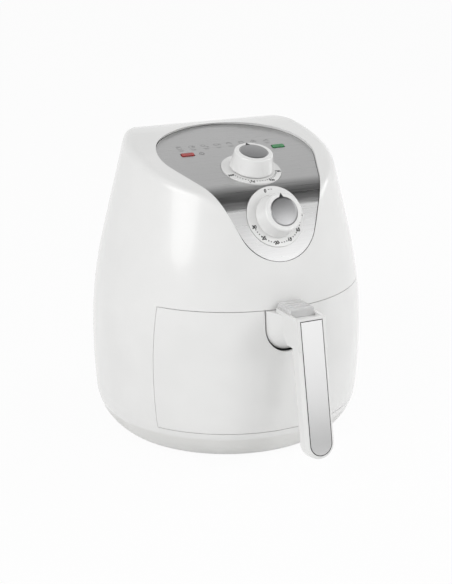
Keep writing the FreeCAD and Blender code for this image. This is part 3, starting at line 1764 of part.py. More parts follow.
def bearing_bracket(name, low, half):
    body = subpart(name, 0, FAN_Y)
    strip = box(-half, half, -size.bracket_wide / 2, size.bracket_wide / 2)
    pad(body, "XY", [strip] + bolt_spots, low, low + size.bracket_sheet)
    pad(body, "XY", [Circle(0, 0, size.bush_radius)], low, low + size.bracket_sheet + size.bush_high)
    pocket(body, "XY", [Circle(0, 0, size.shaft_radius + size.run_fit)], 0, size.form_top)


bearing_bracket("lower_bearing_bracket", size.bracket_low, size.bracket_half)
bearing_bracket("upper_bearing_bracket", stack_top, size.stator_half)

motor_stator = subpart("motor_stator", 0, FAN_Y)
leg_front = size.stator_deep + size.yoke_window
leg_back = leg_front + size.yoke_leg
window_half = size.stator_half - size.yoke_leg
pad(
    motor_stator, "XY",
    [
        box(-size.stator_half, size.stator_half, -size.stator_deep, leg_back),
        Circle(0, 0, size.rotor_radius + size.rotor_gap),
        box(-window_half, window_half, size.stator_deep, leg_front),
    ] + bolt_spots,
    stack_low, stack_top,
)
motor_coil = subpart("motor_coil", 0, FAN_Y)
out = size.coil_out
pad(
    motor_coil, "YZ",
    [
        box(leg_front - out, leg_back + out, stack_low - out, stack_top + out),
        box(leg_front, leg_back, stack_low, stack_top),
    ],
    -size.coil_half, size.coil_half,
)
motor_bolts = []
for spot in bolt_spots:
    seat = stack_top + size.bracket_sheet
    through = size.stator_high + size.bracket_sheet * 2
    motor_bolts.append(screw("motor_bolt", spot.x, FAN_Y, seat, 0, through))
group("motor_bolts", motor_bolts)

# Thermal fuse: lies on the insulation behind the motor.

thermal_fuse = subpart("thermal_fuse", 0, FAN_Y)
fuse_front = size.fuse_back - size.fuse_wide * 2
pad(
    thermal_fuse, "XY", [box(-size.fuse_half, size.fuse_half, fuse_front, size.fuse_back)],
    insulation_top, insulation_top + size.fuse_wide,
)

# Fan rotor: shaft, rotor, the hot-air fan under the shield and the cooling fan above it.

bearing_top = stack_top + size.bracket_sheet + size.bush_high
rotor_low = stack_low + size.bush_high + size.rotor_gap
nut_low = size.fan_low - size.shaft_radius
motor_shaft = subpart("motor_shaft", 0, FAN_Y)
shaft_low = nut_low - size.shaft_radius
revolve(motor_shaft, cylinder(size.shaft_radius, shaft_low, bearing_top + size.shaft_radius))
motor_rotor = subpart("motor_rotor", 0, FAN_Y)
revolve(motor_rotor, tube(size.shaft_radius, size.rotor_radius, rotor_low, stack_top - size.rotor_gap))
fan_nut = subpart("fan_nut", 0, FAN_Y)
revolve(fan_nut, tube(size.shaft_radius, size.hub_radius - skin * 2, nut_low, size.fan_low))


def impeller(name, low, radius, disc_low):
    """A hub and disc with straight radial blades."""
    body = subpart(name, 0, FAN_Y)
    top = low + size.fan_blade
    revolve(body, tube(size.shaft_radius, size.hub_radius, low, top))
    pad(
        body, "XY", [Circle(0, 0, radius), Circle(0, 0, size.hub_radius - skin)],
        disc_low, disc_low + size.fan_sheet,
    )
    half = size.blade_sheet / 2
    blade = pad(body, "XY", [box(size.hub_radius - skin, radius - skin, -half, half)], low, top)
    repeat_round(body, blade, 8)


impeller("hot_air_fan", size.fan_low, size.fan_radius, size.fan_low + size.fan_blade - size.fan_sheet)
impeller("cooling_fan", size.cooler_low, size.cooler_radius, size.cooler_low)

doc.recompute()

# Written last, once every object has been built without an error.

faults = []
for item in doc.Objects:
    if "Invalid" in item.State or "Error" in item.State:
        faults.append(f"{item.Label}: {item.State}")
    if item.TypeId in ("PartDesign::Pocket", "PartDesign::Groove"):
        if item.Shape.Volume > item.BaseFeature.Shape.Volume - 0.01:
            faults.append(f"{item.Label}: cuts nothing")
for item in SUBPARTS:
    if item.Shape.isNull() or not item.Shape.isValid():
        faults.append(f"{item.Label}: shape is not valid")
if faults:
    raise RuntimeError("\n".join(faults))

os.makedirs("parts", exist_ok=True)
for item in SUBPARTS:
    item.Shape.exportStep(f"parts/{item.Label}.step")
    print(item.Label, len(item.Shape.Solids), round(item.Shape.Volume))
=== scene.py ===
import math

import bmesh
import bpy
from mathutils import Matrix, Vector


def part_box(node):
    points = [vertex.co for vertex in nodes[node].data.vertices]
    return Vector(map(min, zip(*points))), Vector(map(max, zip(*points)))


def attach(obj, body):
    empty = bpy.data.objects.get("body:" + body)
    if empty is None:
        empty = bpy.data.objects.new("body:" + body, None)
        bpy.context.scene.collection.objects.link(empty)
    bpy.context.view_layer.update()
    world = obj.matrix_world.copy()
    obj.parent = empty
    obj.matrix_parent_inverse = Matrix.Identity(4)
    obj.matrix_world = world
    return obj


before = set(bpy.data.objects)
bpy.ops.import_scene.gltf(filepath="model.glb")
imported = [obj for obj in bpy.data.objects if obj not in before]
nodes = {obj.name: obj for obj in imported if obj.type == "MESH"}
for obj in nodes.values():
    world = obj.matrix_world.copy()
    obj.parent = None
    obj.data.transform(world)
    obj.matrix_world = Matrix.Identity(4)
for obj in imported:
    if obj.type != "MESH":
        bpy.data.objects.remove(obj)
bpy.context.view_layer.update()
MM = 0.001

# Housing mouldings: the upper and lower housing and the drawer's front, injection moulded
# in white ABS from polished tools. They meet at a seam with a gap of 0.6 mm and are held
# by screws from below.


def linear(code):
    """A colour written as sRGB hex, as the linear values that a shader takes."""
    parts = [int(code[at:at + 2], 16) / 255 for at in (1, 3, 5)]
    return [p / 12.92 if p <= 0.04045 else ((p + 0.055) / 1.055) ** 2.4 for p in parts] + [1.0]


def add(tree, kind, settings=None, inputs=None):
    """Adds a node: settings are its own properties, inputs are values or sockets to link."""
    node = tree.nodes.new(kind)
    for name, value in (settings or {}).items():
        setattr(node, name, value)
    for name, value in (inputs or {}).items():
        if isinstance(value, bpy.types.NodeSocket):
            tree.links.new(value, node.inputs[name])
        else:
            node.inputs[name].default_value = value
    return node


def new_finish(name, **sockets):
    """A material with its shader's constant sockets set, and its tree, shader and coordinates."""
    material = bpy.data.materials.new(name)
    material.use_nodes = True
    tree = material.node_tree
    shader = tree.nodes["Principled BSDF"]
    for socket, value in sockets.items():
        title = socket.replace("_", " ").title().replace("Ior", "IOR")
        shader.inputs[title].default_value = value
    place = add(tree, "ShaderNodeTexCoord").outputs["Object"]
    return material, tree, shader, place


def grain(tree, place, millimetres, detail=2.0, stretch=(1, 1, 1)):
    """Noise whose blotches are about that wide, drawn out along an axis by stretch."""
    shares = [1 / (millimetres * MM * share) for share in stretch]
    scaled = add(tree, "ShaderNodeMapping", inputs={"Vector": place, "Scale": shares})
    noise = {"Vector": scaled.outputs["Vector"], "Scale": 1.0, "Detail": detail}
    return add(tree, "ShaderNodeTexNoise", inputs=noise).outputs["Fac"]


def between(tree, factor, low, high, target):
    """Feeds target with a value that runs from low to high as the factor goes round its middle."""
    words = {"Value": factor, "From Min": 0.3, "From Max": 0.7, "To Min": low, "To Max": high}
    tree.links.new(add(tree, "ShaderNodeMapRange", inputs=words).outputs["Result"], target)


def tint(tree, factor, dark, light, target):
    """Feeds target with a colour that varies between two near ones."""
    ramp = add(tree, "ShaderNodeValToRGB", inputs={"Fac": factor})
    ramp.color_ramp.elements[0].position = 0.3
    ramp.color_ramp.elements[1].position = 0.7
    ramp.color_ramp.elements[0].color = linear(dark)
    ramp.color_ramp.elements[1].color = linear(light)
    tree.links.new(ramp.outputs["Color"], target)


def relief(tree, factor, depth_mm, strength, shader):
    """Raises the surface by a factor, to a depth in millimetres."""
    words = {"Height": factor, "Distance": depth_mm * MM, "Strength": strength}
    bump = add(tree, "ShaderNodeBump", inputs=words).outputs["Normal"]
    tree.links.new(bump, shader.inputs["Normal"])


def dress(material, *names):
    """Gives CAD nodes a material."""
    for name in names:
        nodes[name].data.materials.clear()
        nodes[name].data.materials.append(material)


# Glossy moulded ABS: clean highlights, a faint flow cloudiness some 60 mm wide and the
# slightest ripple of a polished tool, drawn at 5 mm so that it can show.
white_abs, tree, shader, place = new_finish(
    "moulded_white_abs", ior=1.53, coat_weight=0.25, coat_roughness=0.05
)
cloud = grain(tree, place, 60)
tint(tree, cloud, "#ececeb", "#f1f1f0", shader.inputs["Base Color"])
between(tree, cloud, 0.17, 0.24, shader.inputs["Roughness"])
relief(tree, grain(tree, place, 5, 1.0), 0.01, 0.12, shader)
dress(white_abs, "upper_housing", "lower_housing", "drawer_front")

# Base tray, outlet grille and cord gland: plain mouldings in white polypropylene with a
# spark-eroded texture, screwed or clipped into the housing.
satin_pp, tree, shader, place = new_finish("textured_white_polypropylene", ior=1.49)
tint(tree, grain(tree, place, 40), "#e4e4e2", "#ebebe9", shader.inputs["Base Color"])
spark = grain(tree, place, 0.9, 3.0)
between(tree, spark, 0.36, 0.5, shader.inputs["Roughness"])
relief(tree, spark, 0.03, 0.25, shader)
dress(satin_pp, "base_tray", "outlet_grille", "cord_gland", "release_button")

# Rubber feet: four moulded nitrile pads pressed into the base.
foot_rubber, tree, shader, place = new_finish("moulded_nitrile_rubber", ior=1.52)
dust = grain(tree, place, 3, 4.0)
tint(tree, dust, "#232323", "#2e2e2d", shader.inputs["Base Color"])
between(tree, dust, 0.65, 0.85, shader.inputs["Roughness"])
relief(tree, grain(tree, place, 0.8), 0.03, 0.3, shader)
dress(foot_rubber, "rubber_feet")

# Screws, bolts, rivets, shafts and springs: zinc-plated steel, bought in.
zinc_steel, tree, shader, place = new_finish("zinc_plated_steel", metallic=1.0)
plating = grain(tree, place, 1.5, 3.0)
tint(tree, plating, "#9b9c9f", "#b4b5b8", shader.inputs["Base Color"])
between(tree, plating, 0.24, 0.4, shader.inputs["Roughness"])
dress(
    zinc_steel, "base_screws", "housing_screws", "pan_screws", "basket_rivets", "handle_screws",
    "motor_bolts", "motor_shaft", "fan_nut", "thermostat_shaft", "timer_shaft", "release_springs",
)

# Hot chamber: liner, heat shield, element guard, brackets and posts, pressed from
# galvanised steel sheet with a faint spangle.
sheet_steel, tree, shader, place = new_finish("galvanised_steel_sheet", metallic=1.0)
cells = add(tree, "ShaderNodeTexVoronoi", inputs={"Vector": place, "Scale": 1 / (7 * MM)})
tint(tree, cells.outputs["Color"], "#9a9c9e", "#b3b5b7", shader.inputs["Base Color"])
between(tree, grain(tree, place, 9, 3.0), 0.28, 0.45, shader.inputs["Roughness"])
dress(
    sheet_steel, "chamber_liner", "heat_shield", "element_guard", "basket_bracket", "latch_keeper",
    "motor_posts", "lower_bearing_bracket", "upper_bearing_bracket", "timer_bell",
)

# Runners, switch, terminal block, control cases, lamp holders, bolt and fuse sleeve:
# black glass-filled nylon with a dull moulded skin.
black_nylon, tree, shader, place = new_finish("glass_filled_nylon", ior=1.53)
fibre = grain(tree, place, 0.8, 3.0, (1, 4, 1))
tint(tree, fibre, "#1d1d1e", "#2a2a2b", shader.inputs["Base Color"])
between(tree, fibre, 0.45, 0.6, shader.inputs["Roughness"])
relief(tree, fibre, 0.02, 0.2, shader)
dress(
    black_nylon, "drawer_runners", "drawer_switch", "terminal_block", "thermostat_body", "timer_body",
    "lamp_holders", "release_latch", "thermal_fuse",
)

# Insulation disc: a pressed mica board under the motor plate.
mica, tree, shader, place = new_finish("pressed_mica_board", ior=1.58)
flake = grain(tree, place, 4, 5.0, (1, 1, 0.2))
tint(tree, flake, "#a89a7c", "#c9bd9f", shader.inputs["Base Color"])
between(tree, flake, 0.35, 0.6, shader.inputs["Roughness"])
dress(mica, "insulation_disc")

# Heating element: a sheathed tube bent to a ring, its alloy skin straw and blue from heat.
element_skin, tree, shader, place = new_finish("heat_stained_alloy_tube", metallic=1.0)
stain = grain(tree, place, 18, 3.0)
tint(tree, stain, "#4d4742", "#7a7066", shader.inputs["Base Color"])
between(tree, stain, 0.38, 0.55, shader.inputs["Roughness"])
dress(element_skin, "heating_element")

# Motor core and rotor: stacked 0.5 mm steel stampings, seen as fine level lines.
STAMPING = 0.5 * MM


def maths(tree, operation, *values):
    """The result of a maths node."""
    node = add(tree, "ShaderNodeMath", {"operation": operation}, dict(enumerate(values)))
    return node.outputs["Value"]


core_steel, tree, shader, place = new_finish("laminated_core_steel", metallic=1.0)
height = add(tree, "ShaderNodeSeparateXYZ", inputs={"Vector": place}).outputs["Z"]
line = maths(tree, "DIVIDE", maths(tree, "PINGPONG", height, STAMPING), STAMPING)
tint(tree, line, "#55555a", "#8a8a90", shader.inputs["Base Color"])
between(tree, line, 0.35, 0.55, shader.inputs["Roughness"])
relief(tree, line, 0.1, 0.5, shader)
dress(core_steel, "motor_stator", "motor_rotor")

# Motor coil: lacquered copper wire of about 0.6 mm, wound in level turns.
# A wave texture has a band in each 0.314 of its scaled length.
WIRE, WAVE_BAND = 0.6 * MM, 0.314
coil_wire, tree, shader, place = new_finish(
    "lacquered_copper_winding", metallic=1.0, coat_weight=0.4
)
turn = add(
    tree, "ShaderNodeTexWave", {"bands_direction": "Z"},
    {"Vector": place, "Scale": WAVE_BAND / WIRE, "Distortion": 0.6},
).outputs["Fac"]
tint(tree, turn, "#6b3318", "#b0622f", shader.inputs["Base Color"])
between(tree, turn, 0.3, 0.45, shader.inputs["Roughness"])
relief(tree, turn, 0.3, 0.6, shader)
dress(coil_wire, "motor_coil")

# Fans: pressed aluminium, one under the chamber's roof and one above it for the motor.
fan_sheet, tree, shader, place = new_finish("pressed_aluminium", metallic=1.0)
rolled = grain(tree, place, 0.7, 3.0, (30, 1, 1))
tint(tree, rolled, "#a8aaac", "#c2c4c6", shader.inputs["Base Color"])
between(tree, rolled, 0.3, 0.45, shader.inputs["Roughness"])
dress(fan_sheet, "hot_air_fan", "cooling_fan")

# Pan, basket and the basket's floor: pressed steel with a sprayed non-stick coating, a
# warm near-black with a fine speckle and a soft sheen.
non_stick, tree, shader, place = new_finish(
    "sprayed_non_stick_coating", ior=1.42, coat_weight=0.15
)
speckle = grain(tree, place, 0.9, 4.0)
tint(tree, speckle, "#1c1b1a", "#34322f", shader.inputs["Base Color"])
between(tree, speckle, 0.34, 0.52, shader.inputs["Roughness"])
relief(tree, speckle, 0.02, 0.25, shader)
dress(non_stick, "pan", "basket", "basket_mesh")

# Control panel: one sheet of stainless steel, brushed from side to side and bent over the
# deck, stuck into its recess. Its scratches are some 0.5 mm apart, drawn coarser than real
# so that they show, and 60 mm long.
brushed, tree, shader, place = new_finish("brushed_stainless_sheet", metallic=1.0)
scratch = grain(tree, place, 0.5, 4.0, (120, 1, 1))
tint(tree, scratch, "#bcbcbc", "#c8c8c8", shader.inputs["Base Color"])
between(tree, scratch, 0.26, 0.4, shader.inputs["Roughness"])
relief(tree, scratch, 0.01, 0.09, shader)
dress(brushed, "control_panel")

# Grip trim: an aluminium plate, fine blasted and bright anodised, stuck into the handle.
bright_trim, tree, shader, place = new_finish("bright_anodised_aluminium", metallic=1.0)
blast = grain(tree, place, 0.5, 3.0)
tint(tree, blast, "#ebebeb", "#f1f1f1", shader.inputs["Base Color"])
between(tree, blast, 0.18, 0.22, shader.inputs["Roughness"])
dress(bright_trim, "handle_trim")

# Lamp lenses: dyed acrylic bars over the lamps, red for power and green for heating.
LENSES = (
    ("power_lamp_lens", "#8f1613", "#b52420"),
    ("heating_lamp_lens", "#0b6b33", "#149048"),
)
for lens, dark, light in LENSES:
    dyed, tree, shader, place = new_finish("dyed_acrylic_" + lens, ior=1.49, coat_weight=0.3)
    depth = grain(tree, place, 3)
    tint(tree, depth, dark, light, shader.inputs["Base Color"])
    between(tree, depth, 0.12, 0.2, shader.inputs["Roughness"])
    dress(dyed, lens)

# Button guard: a clear polycarbonate cap, slightly grey, with moulded finger ribs.
clear_cap, tree, shader, place = new_finish(
    "clear_polycarbonate", ior=1.58, transmission_weight=0.35
)
haze = grain(tree, place, 6)
tint(tree, haze, "#f6f6f6", "#fcfcfc", shader.inputs["Base Color"])
between(tree, haze, 0.12, 0.22, shader.inputs["Roughness"])
dress(clear_cap, "button_guard")

# Handle, its back cover, the knobs and the dials' white rings: the housing's ABS.
dress(
    white_abs, "handle", "handle_back_cover", "temperature_knob", "timer_knob",
    "temperature_dial", "timer_dial",
)

# Painted gap shade: black copies of the control panel and the grip's trim, a little larger than
# the sheet and set just under it, so that a thin black rim of painted shade fills the gap round each.
gap_shade_black, tree, shader, place = new_finish("black_painted_gap_shade", ior=1.45)
pores = grain(tree, place, 0.6, 3.0)
tint(tree, pores, "#101011", "#1d1d1e", shader.inputs["Base Color"])
between(tree, pores, 0.7, 0.9, shader.inputs["Roughness"])
# Corners closer than the weld are one, and a face that leans less than this is an edge.
WELD, EDGE_LEAN = 0.002 * MM, 0.7


def out_of(tilt):
    """The way out of a face that is tilted towards the front, in degrees from level."""
    slope = math.radians(tilt)
    return Vector((0, -math.sin(slope), math.cos(slope)))


def gap_shade_under(name, sheet, tilt, proud_mm, drop_mm, clear, body):
    """A copy of a sheet, widened at its outer edge and dropped below its face; its black rim is painted
    shade in the gap.
    """
    facing = out_of(tilt)
    mesh = nodes[sheet].data.copy()
    mesh.name = name
    shape = bmesh.new()
    shape.from_mesh(mesh)
    bmesh.ops.remove_doubles(shape, verts=shape.verts, dist=WELD)
    shape.normal_update()
    moves = {}
    for vertex in shape.verts:
        out, up = Vector(), Vector()
        for face in vertex.link_faces:
            lean = face.normal.dot(facing)
            if abs(lean) < EDGE_LEAN:
                out += face.normal
            else:
                up += face.normal * math.copysign(1, lean)
        inside = any((vertex.co - Vector(spot)).length < radius for spot, radius in clear)
        edge = Vector() if inside or out.length == 0 else out.normalized() * proud_mm * MM
        moves[vertex] = edge - up.normalized() * drop_mm * MM
    for vertex, move in moves.items():
        vertex.co += move
    shape.to_mesh(mesh)
    shape.free()
    mesh.materials.clear()
    mesh.materials.append(gap_shade_black)
    gap_shade = bpy.data.objects.new(name, mesh)
    bpy.context.scene.collection.objects.link(gap_shade)
    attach(gap_shade, body)


def middle_of(node):
    """The middle of a node's box, in the row frame."""
    return sum(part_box(node), Vector()) / 2


# Heights above a dial's face are in millimetres and tilts in degrees.
UPPER_TILT, LOWER_TILT, GRIP_TILT = 17, 63, 90 - 11.6
KNOB_TOP, DISC_SUNK, DISC_SHEET = 19.6, 1.0, 1.2
DISC_MIDDLE = (KNOB_TOP - DISC_SUNK - DISC_SHEET / 2) * MM
UPPER_DIAL = middle_of("temperature_knob_disc") - out_of(UPPER_TILT) * DISC_MIDDLE
LOWER_DIAL = middle_of("timer_knob_disc") - out_of(LOWER_TILT) * DISC_MIDDLE
DIAL_HOLE, LAMP_HOLE = 31 * MM, 10 * MM
holes = [(UPPER_DIAL, DIAL_HOLE), (LOWER_DIAL, DIAL_HOLE)]
holes += [(middle_of(lens), LAMP_HOLE) for lens, _, _ in LENSES]
panel_tilt = (UPPER_TILT + LOWER_TILT) / 2
# The black rims round the panel and the trim are painted shade in their gaps.
gap_shade_under("panel_gap_shade", "control_panel", panel_tilt, 0.52, 0.2, holes, "housing")
gap_shade_under("trim_gap_shade", "handle_trim", GRIP_TILT, 0.72, 0.2, [], "drawer")

# Dial scales: black ink, pad-printed on the white rings in marks and plain numbers.
# The same black ink also gives the knobs' pointer tips their painted shade.
ink, tree, shader, place = new_finish("pad_printed_ink_and_painted_shade", ior=1.5)
film = grain(tree, place, 0.4, 3.0)
tint(tree, film, "#161617", "#222223", shader.inputs["Base Color"])
between(tree, film, 0.4, 0.55, shader.inputs["Roughness"])

ring_of_marks = bpy.data.node_groups.new("ring_of_marks", "GeometryNodeTree")
MARK_INPUTS = (
    ("Count", "Int"), ("Radius", "Float"), ("Start", "Float"), ("Sweep", "Float"),
    ("Width", "Float"), ("Length", "Float"), ("Height", "Float"), ("Material", "Material"),
)
for title, kind in MARK_INPUTS:
    ring_of_marks.interface.new_socket(title, in_out="INPUT", socket_type="NodeSocket" + kind)
ring_of_marks.interface.new_socket("Geometry", in_out="OUTPUT", socket_type="NodeSocketGeometry")
tree = ring_of_marks
given = add(tree, "NodeGroupInput").outputs
spans = maths(tree, "SUBTRACT", given["Count"], 1.0)
index = add(tree, "GeometryNodeInputIndex").outputs["Index"]
angle = maths(tree, "MULTIPLY_ADD", maths(tree, "DIVIDE", index, spans), given["Sweep"], given["Start"])
around = {"X": maths(tree, "SINE", angle), "Y": maths(tree, "COSINE", angle)}
spot = add(tree, "ShaderNodeCombineXYZ", inputs=around).outputs[0]
spot = add(
    tree, "ShaderNodeVectorMath", {"operation": "SCALE"}, {0: spot, "Scale": given["Radius"]}
).outputs[0]
words = {"Count": given["Count"], "Position": spot}
points = add(tree, "GeometryNodePoints", inputs=words).outputs[0]
words = {"X": given["Width"], "Y": given["Length"], "Z": given["Height"]}
mark_size = add(tree, "ShaderNodeCombineXYZ", inputs=words).outputs[0]
mark = add(tree, "GeometryNodeMeshCube", inputs={"Size": mark_size}).outputs["Mesh"]
words = {"Z": maths(tree, "MULTIPLY", angle, -1.0)}
facing = add(tree, "ShaderNodeCombineXYZ", inputs=words).outputs[0]
words = {"Points": points, "Instance": mark, "Rotation": facing}
marks = add(tree, "GeometryNodeInstanceOnPoints", inputs=words).outputs[0]
marks = add(tree, "GeometryNodeRealizeInstances", inputs={"Geometry": marks}).outputs[0]
words = {"Geometry": marks, "Material": given["Material"]}
marks = add(tree, "GeometryNodeSetMaterial", inputs=words).outputs[0]
add(tree, "NodeGroupOutput", inputs={"Geometry": marks})


def made_mesh(thing):
    """The evaluated shape of an object as a plain mesh; the object itself is removed."""
    bpy.context.scene.collection.objects.link(thing)
    graph = bpy.context.evaluated_depsgraph_get()
    mesh = bpy.data.meshes.new_from_object(thing.evaluated_get(graph))
    bpy.data.objects.remove(thing)
    return mesh


def marks_mesh(count, radius, start, sweep, width, length, material, height=0.08):
    """A ring of printed marks in millimetres; angles run clockwise from the top."""
    holder = bpy.data.objects.new("marks", bpy.data.meshes.new("marks"))
    node_tree = holder.modifiers.new("marks", "NODES")
    node_tree.node_group = ring_of_marks
    values = (count, radius, math.radians(start), math.radians(sweep), width, length, height, material)
    for (title, _), value in zip(MARK_INPUTS, values):
        node_tree[ring_of_marks.interface.items_tree[title].identifier] = value
    return made_mesh(holder)


# Film is half the print's thickness, and bolder widens each stroke, both in millimetres.
FILM, BOLDER, FONT_SIZE_PER_FIGURE = 0.04, 0.2, 1.4


def number_mesh(text, high, angle, radius):
    """A printed number, upright, at an angle and radius in millimetres."""
    words = bpy.data.curves.new("number", "FONT")
    words.body = text
    words.size = high * FONT_SIZE_PER_FIGURE
    words.align_x = "CENTER"
    words.align_y = "CENTER"
    words.extrude = FILM
    words.offset = BOLDER
    mesh = made_mesh(bpy.data.objects.new("number", words))
    turn = math.radians(angle)
    mesh.transform(Matrix.Translation((radius * math.sin(turn), radius * math.cos(turn), 0)))
    return mesh


def strokes_mesh(lines, thick):
    """Printed lines in millimetres through lists of corners."""
    drawn = bpy.data.curves.new("strokes", "CURVE")
    drawn.dimensions = "3D"
    drawn.bevel_depth = thick / 2
    drawn.bevel_resolution = 0
    drawn.use_fill_caps = True
    for corners in lines:
        spline = drawn.splines.new("POLY")
        spline.points.add(len(corners) - 1)
        for point, (x, y) in zip(spline.points, corners):
            point.co = (x, y, 0, 1)
    mesh = made_mesh(bpy.data.objects.new("strokes", drawn))
    mesh.transform(Matrix.Diagonal((1, 1, 0.3, 1)))
    return mesh


def plate_mesh(corners, low, high):
    """A flat plate in millimetres with straight sides."""
    shape = bmesh.new()
    foot = shape.faces.new([shape.verts.new((x, y, low)) for x, y in corners])
    top = bmesh.ops.extrude_face_region(shape, geom=[foot])["geom"]
    for vertex in [item for item in top if isinstance(item, bmesh.types.BMVert)]:
        vertex.co.z = high
    bmesh.ops.recalc_face_normals(shape, faces=shape.faces)
    mesh = bpy.data.meshes.new("plate")
    shape.to_mesh(mesh)
    shape.free()
    return mesh


def on_slope(centre, tilt, out):
    """Takes millimetres on a tilted face, out above its centre, to the row frame."""
    turned = Matrix.Rotation(math.radians(tilt), 4, "X")
    sized = Matrix.Scale(MM, 4) @ Matrix.Translation((0, 0, out))
    return Matrix.Translation(centre) @ turned @ sized


def put(name, meshes, where, material, body):
    """Joins meshes into one piece at its place, which rides on a body."""
    shape = bmesh.new()
    for mesh in meshes:
        shape.from_mesh(mesh)
    shape.transform(where)
    whole = bpy.data.meshes.new(name)
    shape.to_mesh(whole)
    shape.free()
    whole.materials.append(material)
    for face in whole.polygons:
        face.material_index = 0
    piece = bpy.data.objects.new(name, whole)
    bpy.context.scene.collection.objects.link(piece)
    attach(piece, body)
    return piece


DIAL_TOP = 1.02
HEAT_START, HEAT_SWEEP = 112, 140
heat_numbers = ((112, "80"), (158, "120"), (204, "160"), (252, "200"))
heat_scale = [
    marks_mesh(22, 23.8, HEAT_START, HEAT_SWEEP, 1.0, 1.4, ink),
    marks_mesh(len(heat_numbers), 24.0, HEAT_START, HEAT_SWEEP, 1.4, 2.2, ink),
]
heat_scale += [number_mesh(text, 2.7, angle, 26.6) for angle, text in heat_numbers]
heat_face = on_slope(UPPER_DIAL, UPPER_TILT, DIAL_TOP)
put("temperature_scale", heat_scale, heat_face, ink, "housing")

TIME_RING, ZERO_RING = 25.2, 25.4
wedge = []
for radius, degrees in ((26.6, 64), (25.0, 96), (28.2, 96), (27.4, 80)):
    angle = math.radians(degrees)
    wedge.append((radius * math.sin(angle), radius * math.cos(angle)))
time_numbers = ((128, "10"), (158, "15"), (190, "20"), (221, "25"), (252, "30"))
time_scale = [marks_mesh(26, TIME_RING, 98, 154, 1.0, 1.0, ink), plate_mesh(wedge, -FILM, FILM)]
time_scale.append(number_mesh("0", 3.2, 348, ZERO_RING))
time_scale += [number_mesh(text, 3.2, angle, TIME_RING) for angle, text in time_numbers]
time_scale.append(marks_mesh(2, 26.0, 357, 6, 1.6, 0.5, ink))
time_face = on_slope(LOWER_DIAL, LOWER_TILT, DIAL_TOP)
put("timer_scale", time_scale, time_face, ink, "housing")

# Knob discs, caps and pointers: each disc lies sunk in its knob, and a slightly domed cap of
# the same fine blasted, anodised aluminium closes the knob's mouth about 1 mm above it. A small
# tip on the knob's rim is drawn in the black ink as painted shade, standing in for shade on the
# pointer.
anodised, tree, shader, place = new_finish("anodised_silver_aluminium", metallic=1.0)
blast = grain(tree, place, 0.5, 3.0)
tint(tree, blast, "#9c9c9d", "#a8a8a9", shader.inputs["Base Color"])
between(tree, blast, 0.36, 0.42, shader.inputs["Roughness"])
dress(anodised, "temperature_knob_disc", "timer_knob_disc")


def dome_mesh(radius, rise, foot, rings=8, sides=72):
    """A shallow round cap in millimetres, turned about its axis, its foot at a level below 0."""
    shape = bmesh.new()
    shares = [step / rings for step in range(rings + 1)]
    outline = [(radius * share, rise * (1 - share ** 2)) for share in shares]
    outline += [(radius, foot), (0, foot)]
    corners = [shape.verts.new((x, 0, z)) for x, z in outline]
    edges = [shape.edges.new(pair) for pair in zip(corners, corners[1:])]
    bmesh.ops.spin(
        shape, geom=corners + edges, cent=(0, 0, 0), axis=(0, 0, 1), angle=math.tau, steps=sides,
        use_merge=True,
    )
    bmesh.ops.remove_doubles(shape, verts=shape.verts, dist=0.001)
    bmesh.ops.recalc_face_normals(shape, faces=shape.faces)
    for face in shape.faces:
        face.smooth = face.normal.z > 0.5
    mesh = bpy.data.meshes.new("dome")
    shape.to_mesh(mesh)
    shape.free()
    return mesh


cap = dome_mesh(13.9, 0.8, -0.05)
tip = plate_mesh([(-2.4, 13.2), (0, 17.6), (2.4, 13.2)], -0.3, 0.12)
knobs = (("temperature", UPPER_DIAL, UPPER_TILT), ("timer", LOWER_DIAL, LOWER_TILT))
for knob, centre, tilt in knobs:
    knob_face = on_slope(centre, tilt, KNOB_TOP)
    put(knob + "_cap", [cap], knob_face, anodised, knob + "_control")
    # The pointer tip's black ink is painted shade.
    put(knob + "_pointer", [tip], knob_face, ink, knob + "_control")

# Panel print: a row of small grey food pictures and a power sign, screen-printed.
grey_ink, tree, shader, place = new_finish("screen_printed_grey_ink", ior=1.5)
tint(tree, grain(tree, place, 0.5, 3.0), "#6f6f70", "#7d7d7e", shader.inputs["Base Color"])
between(tree, grain(tree, place, 0.8), 0.4, 0.55, shader.inputs["Roughness"])


def loop(x, y, wide, high, start=0, sweep=360, count=14):
    """Corners along an oval."""
    turns = [math.radians(start + sweep * step / count) for step in range(count + 1)]
    return [(x + wide * math.cos(turn), y + high * math.sin(turn)) for turn in turns]


fries = [[(-2.4, 1), (-1.8, -2.6), (1.8, -2.6), (2.4, 1), (-2.4, 1)]]
fries += [[(x, 1), (x * 1.2, 3.2)] for x in (-1.6, -0.5, 0.6, 1.7)]
fish = [loop(-0.6, 0, 3, 1.6), [(2.2, 0), (4, 1.5), (4, -1.5), (2.2, 0)]]
fish.append([(-2.2, 0.5), (-1.9, 0.5)])
drumstick = [loop(-1, 0.8, 2.1, 1.8), [(0.5, -0.5), (2.6, -2.2)], loop(3.0, -2.5, 0.6, 0.5)]
cake = [[(-2.6, -2.4), (2.6, -2.4), (2.2, 0.4), (-2.2, 0.4), (-2.6, -2.4)]]
cake.append(loop(0, 0.4, 2.4, 2.0, 0, 180, 8))
steak = [loop(0, 0, 3.2, 2.2), loop(1.2, 0.4, 0.8, 0.6)]
shrimp = [loop(0, 0, 2.6, 2.2, -40, 250), loop(0, 0, 1.4, 1.1, -40, 220), [(2, -1.4), (3.2, -2.4)]]
slice_of_pie = [[(-3, -1.8), (3, -1.8), (2.2, 1.6), (-3, -1.8)], [(-1, -0.4), (2.4, 0.6)]]
chunks = [loop(-1.5, -0.6, 1.5, 1.2), loop(1.6, -0.4, 1.4, 1.3), loop(0.1, 1.4, 1.4, 1.1)]
pictures = (fries, steak, drumstick, fish, shrimp, cake, chunks, slice_of_pie)
FIRST_PICTURE, PICTURE_STEP, PICTURE_LINE = -52, 13.4, 54
